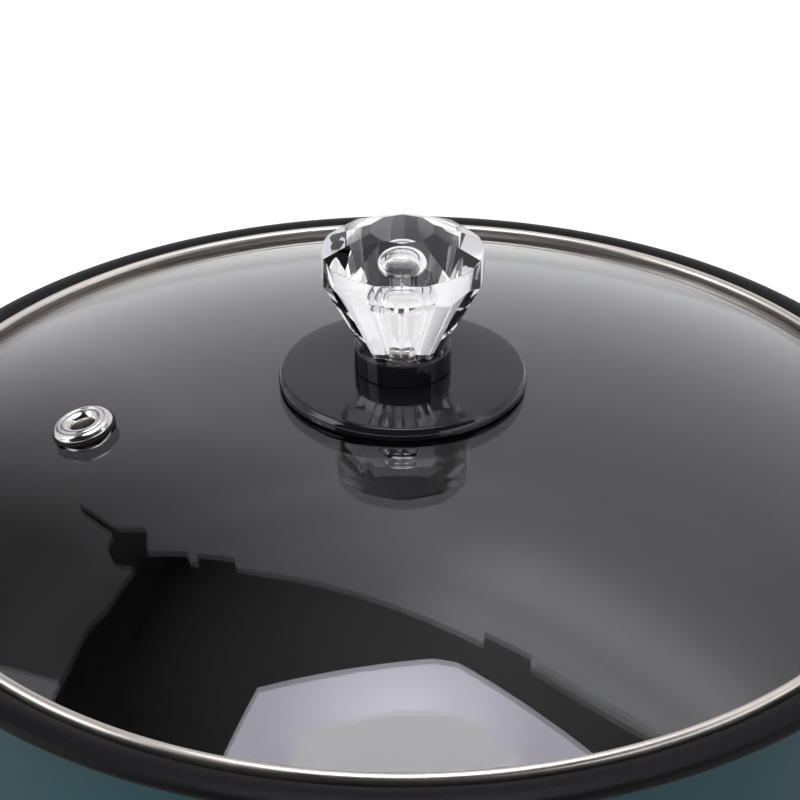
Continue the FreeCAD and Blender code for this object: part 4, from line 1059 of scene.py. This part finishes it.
    def bore_drill(self, low: float) -> Piece:
        """The shape of the blind bore: a plain neck, a cone, and a round end.

        Args:
            low: height of the crystal's foot.

        Returns:
            The tool, which starts a millimetre below the foot.
        """
        radius = self.bore_radius
        top = low + self.bore_depth
        bore = Outline(0.0, low - 1.0).line(self.neck_radius, low - 1.0)
        bore.line(self.neck_radius, low + self.neck_height).line(radius, low + self.cone_height)
        bore.line(radius, top - radius)
        bore.quarter((0.0, top - radius), (0.0, top), 24)
        return turned("bore_drill", bore, Steps.SMALL)

    def insert(self) -> None:
        """The threaded insert that shows through the crystal."""
        _, low, high = extent("knob_insert")
        radius = self.neck_radius - self.insert_play
        groove = radius - self.groove
        sleeve = Outline(self.insert_bore, low)
        sleeve.line(radius - self.insert_foot_edge, low).line(radius, low + self.insert_foot_edge)
        for share in self.groove_shares:
            middle = low + share * (high - low)
            sleeve.line(radius, middle - self.groove_reach).line(groove, middle - self.groove_reach / 2)
            sleeve.line(groove, middle + self.groove_reach / 2).line(radius, middle + self.groove_reach)
        sleeve.line(radius, high - self.insert_top_edge).line(radius - self.insert_top_edge, high)
        sleeve.line(self.insert_bore, high)
        dress(turned("knob_insert_knurled", sleeve, Steps.SMALL), "eyelet_steel", "lid", "knob_insert")


# ---------------- carried-over CAD nodes


def dress_cad_nodes() -> None:
    """Gives every CAD node that still shows the finish of its record slot, smoothed over its facets."""
    slots = {part["node"]: part["material_slot"] for part in frame["record"]["subparts"]}
    for name, node in frame["nodes"].items():
        if node.hide_render:
            continue
        node.data.materials.clear()
        node.data.materials.append(finish_of(slots[name]))
        for polygon in node.data.polygons:
            polygon.use_smooth = True
        weld = node.modifiers.new("weld", "WELD")
        weld.merge_threshold = WELD_MM * MM
        split = node.modifiers.new("edges", "EDGE_SPLIT")
        split.split_angle = radians(CAD_CREASE)
        split.use_edge_sharp = False
        LOG.info("%s keeps its CAD shape, finish %s", name, slots[name])


# ---------------- studio


Corners = tuple[Pair, ...]

BOX_CORNERS: Corners = (
    (-403, -78), (-266, 247), (54, 295), (98, 288), (365, 89), (420, -259), (213, -544), (-135, -599),
    (-420, -392),
)
FACE_CORNERS: Corners = (
    (-262, -74), (-176, 132), (-10, 167), (96, 165), (240, 45), (280, -200), (130, -400), (-110, -440),
    (-290, -290),
)
CEILING_CORNERS: Corners = (
    (2173, -905), (481, 159), (401, 194), (324, 233), (235, 290), (236, 326), (150, 378), (147, 345),
    (33, 418), (-101, 500), (-195, 553), (-274, 593), (-326, 624), (-330, 662), (-411, 709), (-408, 673),
    (-428, 685), (-432, 726), (-529, 775), (-543, 889), (-621, 938), (-712, 1093), (-758, 1172),
    (-735, 1107), (-668, 986), (-628, 919), (-634, 858), (-602, 766), (-551, 725), (-563, 691), (-601, 600),
    (-642, 552), (-672, 458), (-702, 382), (-780, 100), (-1760, -2400), (2200, -2400),
)
RAIL_CORNERS: Corners = (
    (600, 85), (481, 159), (324, 233), (235, 290), (248, 310), (337, 253), (494, 179), (613, 105),
)
CLOTH_MIDDLE = (0.0, 150.0)


@dataclass(frozen=True)
class LightGradient:
    """Strength of a light-giving sheet, changing evenly with the distance from a point of it."""

    centre: Pair
    reach: float
    inner: float
    outer: float

    def build(self, tree: Tree) -> Socket:
        """Makes the nodes.

        Args:
            tree: the material's node tree.

        Returns:
            The strength.
        """
        place = add(tree, "TexCoord", out="Object")
        flat = add(tree, "VectorMath", (place, (1.0, 1.0, 0.0)), operation="MULTIPLY")
        centre = (self.centre[0] * MM, self.centre[1] * MM, 0.0)
        away = add(tree, "VectorMath", (flat, centre), "Value", operation="DISTANCE")
        return add(tree, "MapRange", (away, 0.0, self.reach * MM, self.inner, self.outer))


@dataclass(frozen=True)
class Sheet:
    """A flat stage piece overhead that gives light and that the camera doesn't see."""

    name: str
    material: str
    colour: str
    corners: Corners
    height: float
    light: LightGradient
    lamp: bool

    def build(self) -> None:
        """Makes the sheet. One that isn't a lamp shows only in gloss and glass."""
        material, tree, surface = blank(self.material)
        glow = {"Color": linear(self.colour), "Strength": self.light.build(tree)}
        tree.links.new(add(tree, "Emission", glow), surface)
        piece = stage_sheet(self.name, self.corners, self.height, material)
        piece.visible_camera = False
        piece.visible_diffuse = self.lamp
        piece.visible_shadow = self.lamp


# The softbox with its brighter, cooler border, and the unlit ceiling with the rail that holds the sweep.
SHEETS = (
    Sheet("softbox_border", "softbox_cloth_border", "F3F0FF", BOX_CORNERS, 1200.0,
          LightGradient(CLOTH_MIDDLE, 250.0, 7.6, 4.3), True),
    Sheet("softbox_face", "softbox_cloth_face", "FCFBFF", FACE_CORNERS, 1198.0,
          LightGradient(CLOTH_MIDDLE, 250.0, 5.0, 5.0), True),
    Sheet("ceiling_dark", "unlit_ceiling", "FFFFFF", CEILING_CORNERS, 1203.0,
          LightGradient((165.0, 330.0), 700.0, 0.34, 0.0), False),
    Sheet("sweep_rail", "rail_paint", "FFFFFF", RAIL_CORNERS, 1202.0,
          LightGradient(CLOTH_MIDDLE, 250.0, 0.9, 0.9), False),
)


def stage_sheet(name: str, corners: Corners, height: float, material: Material) -> Piece:
    """Makes a flat stage piece from its corners.

    Args:
        name: the piece's name.
        corners: its outline, in order.
        height: its height.
        material: its material.

    Returns:
        The piece.
    """
    clear_selection()
    bpy.ops.mesh.primitive_circle_add(vertices=len(corners), radius=1.0, fill_type="NGON", location=(0, 0, 0))
    piece = bpy.context.object
    piece.name = name
    for vertex, (x, y) in zip(piece.data.vertices, corners):
        vertex.co = Vector((x, y, height)) * MM
    piece.data.materials.append(material)
    return piece


@dataclass(frozen=True)
class Sector:
    """A patch of the room, in degrees: azimuths from the camera's side, heights, and a level."""

    across: Pair
    up: Pair
    level: float


@dataclass
class Sky:
    """The room as gloss and glass see it, by direction from the pot, as nodes of the world."""

    tree: Tree
    mirror_place: Place = (0.0, -95.0, 140.0)
    overhead_height: float = 1200.0
    camera_side: Sector = Sector((-62.0, 32.0), (-90.0, 90.0), 0.92)
    panels: tuple[Sector, ...] = (
        Sector((-89.0, -62.0), (6.0, 48.0), 3.0),
        Sector((-130.0, -89.0), (-5.0, 60.0), 0.6),
        Sector((34.0, 84.0), (6.0, 48.0), 0.8),
    )

    def __post_init__(self) -> None:
        """Splits the direction, and finds where it meets the softbox's level, in millimetres."""
        self.add = partial(add, self.tree)
        aim = self.add("TexCoord", out="Generated")
        self.x, self.y, self.z = self.add("SeparateXYZ", (aim,)).node.outputs
        self.rise = self.add("Math", (self.z,), operation="ARCSINE")
        steep = self.add("Math", (self.z, 0.05), operation="MAXIMUM")
        up = self.overhead_height - self.mirror_place[2]
        reach = self.add("Math", (up, steep), operation="DIVIDE")
        self.overhead = self.add("VectorMath", (aim, reach, self.mirror_place), operation="MULTIPLY_ADD")

    def light(self) -> Socket:
        """The sweep with its folds, dimmed to the left and behind the camera, and the side panels.

        Returns:
            The light from each direction.
        """
        behind = self.add("Math", (1.0, self.sector(self.camera_side)), operation="SUBTRACT")
        level = self.sweep()
        for factor in (self.folds(), self.left_side(), behind):
            level = self.add("Math", (level, factor), operation="MULTIPLY")
        for panel in self.panels:
            level = self.add("Math", (level, self.sector(panel)), operation="ADD")
        return level

    def sweep(self) -> Socket:
        """The white sweep by height: full at the horizon, less where it curls over, more near the softbox.

        Returns:
            Its light.
        """
        stops = ((0.0, 1.03), (0.09, 0.96), (0.17, 0.90), (0.26, 0.85), (0.34, 0.80), (0.42, 0.77),
                 (0.64, 0.76), (0.71, 0.80), (0.77, 0.95), (0.82, 1.10), (0.90, 1.15))
        return ramp(self.tree, self.z, stops)

    def folds(self) -> Socket:
        """Two soft bright folds in the paper, which run along the rail and fade out towards the left.

        Returns:
            A factor for the sweep's light.
        """
        rail, width = 377.5, 500.0
        past, along = (self.add("VectorMath", (self.overhead, way), "Value", operation="DOT_PRODUCT")
                       for way in ((0.532, 0.846, 0.0), (-0.846, 0.532, 0.0)))
        stops = ((0.0, 0.6), (0.12, 0.7), (0.18, 0.42), (0.32, 1.0), (0.46, 0.75), (0.6, 0.25), (0.8, 0.0))
        fold = ramp(self.tree, self.add("MapRange", (past, rail, rail + width, 0.0, 1.0)), stops)
        fade = self.add("MapRange", (along, 130.0, 280.0, 0.55, 0.0))
        return self.add("Math", (fold, fade, 1.0), operation="MULTIPLY_ADD")

    def left_side(self) -> Socket:
        """The sweep fades into the dim room towards the left, sooner the higher it is.

        Returns:
            A factor for the sweep's light.
        """
        azimuth = self.add("Math", (self.x, self.y), operation="ARCTAN2")
        start = self.add("MapRange", (self.rise, 0.55, 1.05, -0.29, 0.14))
        past = self.add("Math", (start, azimuth), operation="SUBTRACT")
        width = self.add("Math", (start, 0.59), operation="ADD")
        share = self.add("Math", (past, width), operation="DIVIDE")
        return self.add("MapRange", (share, 0.0, 1.0, 1.0, 0.23))

    def sector(self, patch: Sector) -> Socket:
        """A patch of the room.

        Args:
            patch: its place and level.

        Returns:
            The level inside the patch and 0 outside it.
        """
        toward = self.add("Math", (self.y, -1.0), operation="MULTIPLY")
        azimuth = self.add("Math", (self.x, toward), operation="ARCTAN2")
        level = patch.level
        for value, (low, high) in ((azimuth, patch.across), (self.rise, patch.up)):
            middle, half = radians(low + high) / 2, radians(high - low) / 2
            inside = self.add("Math", (value, middle, half), operation="COMPARE")
            level = self.add("Math", (inside, level), operation="MULTIPLY")
        return level


@dataclass
class Studio:
    """Camera, pale table, room and lights. Sizes in millimetres."""

    lens: float = 112.5
    sensor: float = 36.0
    clip_start: float = 10.0
    camera_place: Place = (-0.76, -581.6, 484.5)
    camera_pitch: float = 30.09
    camera_roll: float = -0.19
    soft_level: float = 0.35
    floor_size: float = 9000.0
    floor_lift: float = 0.5
    fill_place: Place = (-900.0, -1900.0, 900.0)
    fill_aim: Place = (0.0, 0.0, 80.0)
    fill_size: Pair = (1600.0, 1000.0)
    fill_watts: float = 14.0

    def build(self) -> None:
        """Builds the studio in order."""
        self.camera()
        self.world()
        self.floor()
        for sheet in SHEETS:
            sheet.build()
        self.fill()

    def camera(self) -> None:
        """Puts the camera in front of the pot, above it and looking down at the knob."""
        data = bpy.data.cameras.new("camera")
        data.lens = self.lens
        data.sensor_width = self.sensor
        data.clip_start = self.clip_start * MM
        camera = bpy.data.objects.new("camera", data)
        bpy.context.scene.collection.objects.link(camera)
        camera.matrix_world = (Matrix.Translation(Vector(self.camera_place) * MM)
                               @ Matrix.Rotation(radians(90.0 - self.camera_pitch), 4, "X")
                               @ Matrix.Rotation(radians(self.camera_roll), 4, "Z"))
        bpy.context.scene.camera = camera

    def world(self) -> None:
        """Shows gloss and glass the room, shows the camera plain white, and lights softly from all round."""
        world = bpy.data.worlds.new("studio")
        bpy.context.scene.world = world
        world.use_nodes = True
        tree = world.node_tree
        tree.nodes.clear()
        output = tree.nodes.new("ShaderNodeOutputWorld")
        ray = add(tree, "LightPath").node.outputs
        room = add(tree, "Background", (linear("FAFAFF"), Sky(tree).light()))
        soft = add(tree, "Background", (linear("FFFFFF"), self.soft_level))
        white = add(tree, "Background", (linear("FFFFFF"), 1.0))
        mirrored = add(tree, "Math", (ray["Is Glossy Ray"], ray["Is Transmission Ray"]), operation="MAXIMUM")
        mixed = add(tree, "MixShader", (mirrored, soft, room))
        shown = add(tree, "MixShader", (ray["Is Camera Ray"], mixed, white))
        tree.links.new(shown, output.inputs["Surface"])

    def floor(self) -> None:
        """The pale table, which keeps the pot's shadow and looks brighter than it lights."""
        material, tree, surface = blank("pale_table")
        matt = add(tree, "BsdfDiffuse", {"Color": linear("EDEDED")})
        lift = add(tree, "Emission", (linear("FFFFFF"), self.floor_lift))
        both = add(tree, "AddShader", (matt, lift))
        ray = add(tree, "LightPath").node.outputs
        shown = ray["Is Camera Ray"]
        for kind in ("Is Glossy Ray", "Is Transmission Ray"):
            shown = add(tree, "Math", (shown, ray[kind]), operation="MAXIMUM")
        tree.links.new(add(tree, "MixShader", (shown, matt, both)), surface)
        half = self.floor_size / 2
        stage_sheet("floor", ((-half, -half), (half, -half), (half, half), (-half, half)), 0.0, material)

    def fill(self) -> None:
        """A weak, wide lamp from the camera's side."""
        data = bpy.data.lights.new("front_fill", "AREA")
        data.shape = "RECTANGLE"
        data.size, data.size_y = (side * MM for side in self.fill_size)
        data.energy = self.fill_watts
        lamp = bpy.data.objects.new("front_fill", data)
        bpy.context.scene.collection.objects.link(lamp)
        lamp.visible_glossy = False
        lamp.visible_transmission = False
        lamp.location = Vector(self.fill_place) * MM
        aim = Vector(self.fill_aim) * MM - lamp.location
        lamp.rotation_euler = aim.to_track_quat("-Z", "Y").to_euler()


def main() -> None:
    """Builds the pot, the lid, the knob, the CAD nodes' finishes and the studio, in order."""
    logging.basicConfig(level=logging.INFO, format="%(name)s: %(message)s")
    bpy.context.scene.view_settings.view_transform = "Standard"
    Pot().build()
    Lid().build()
    Knob().build()
    dress_cad_nodes()
    Studio().build()


if __name__ == "__main__":
    main()
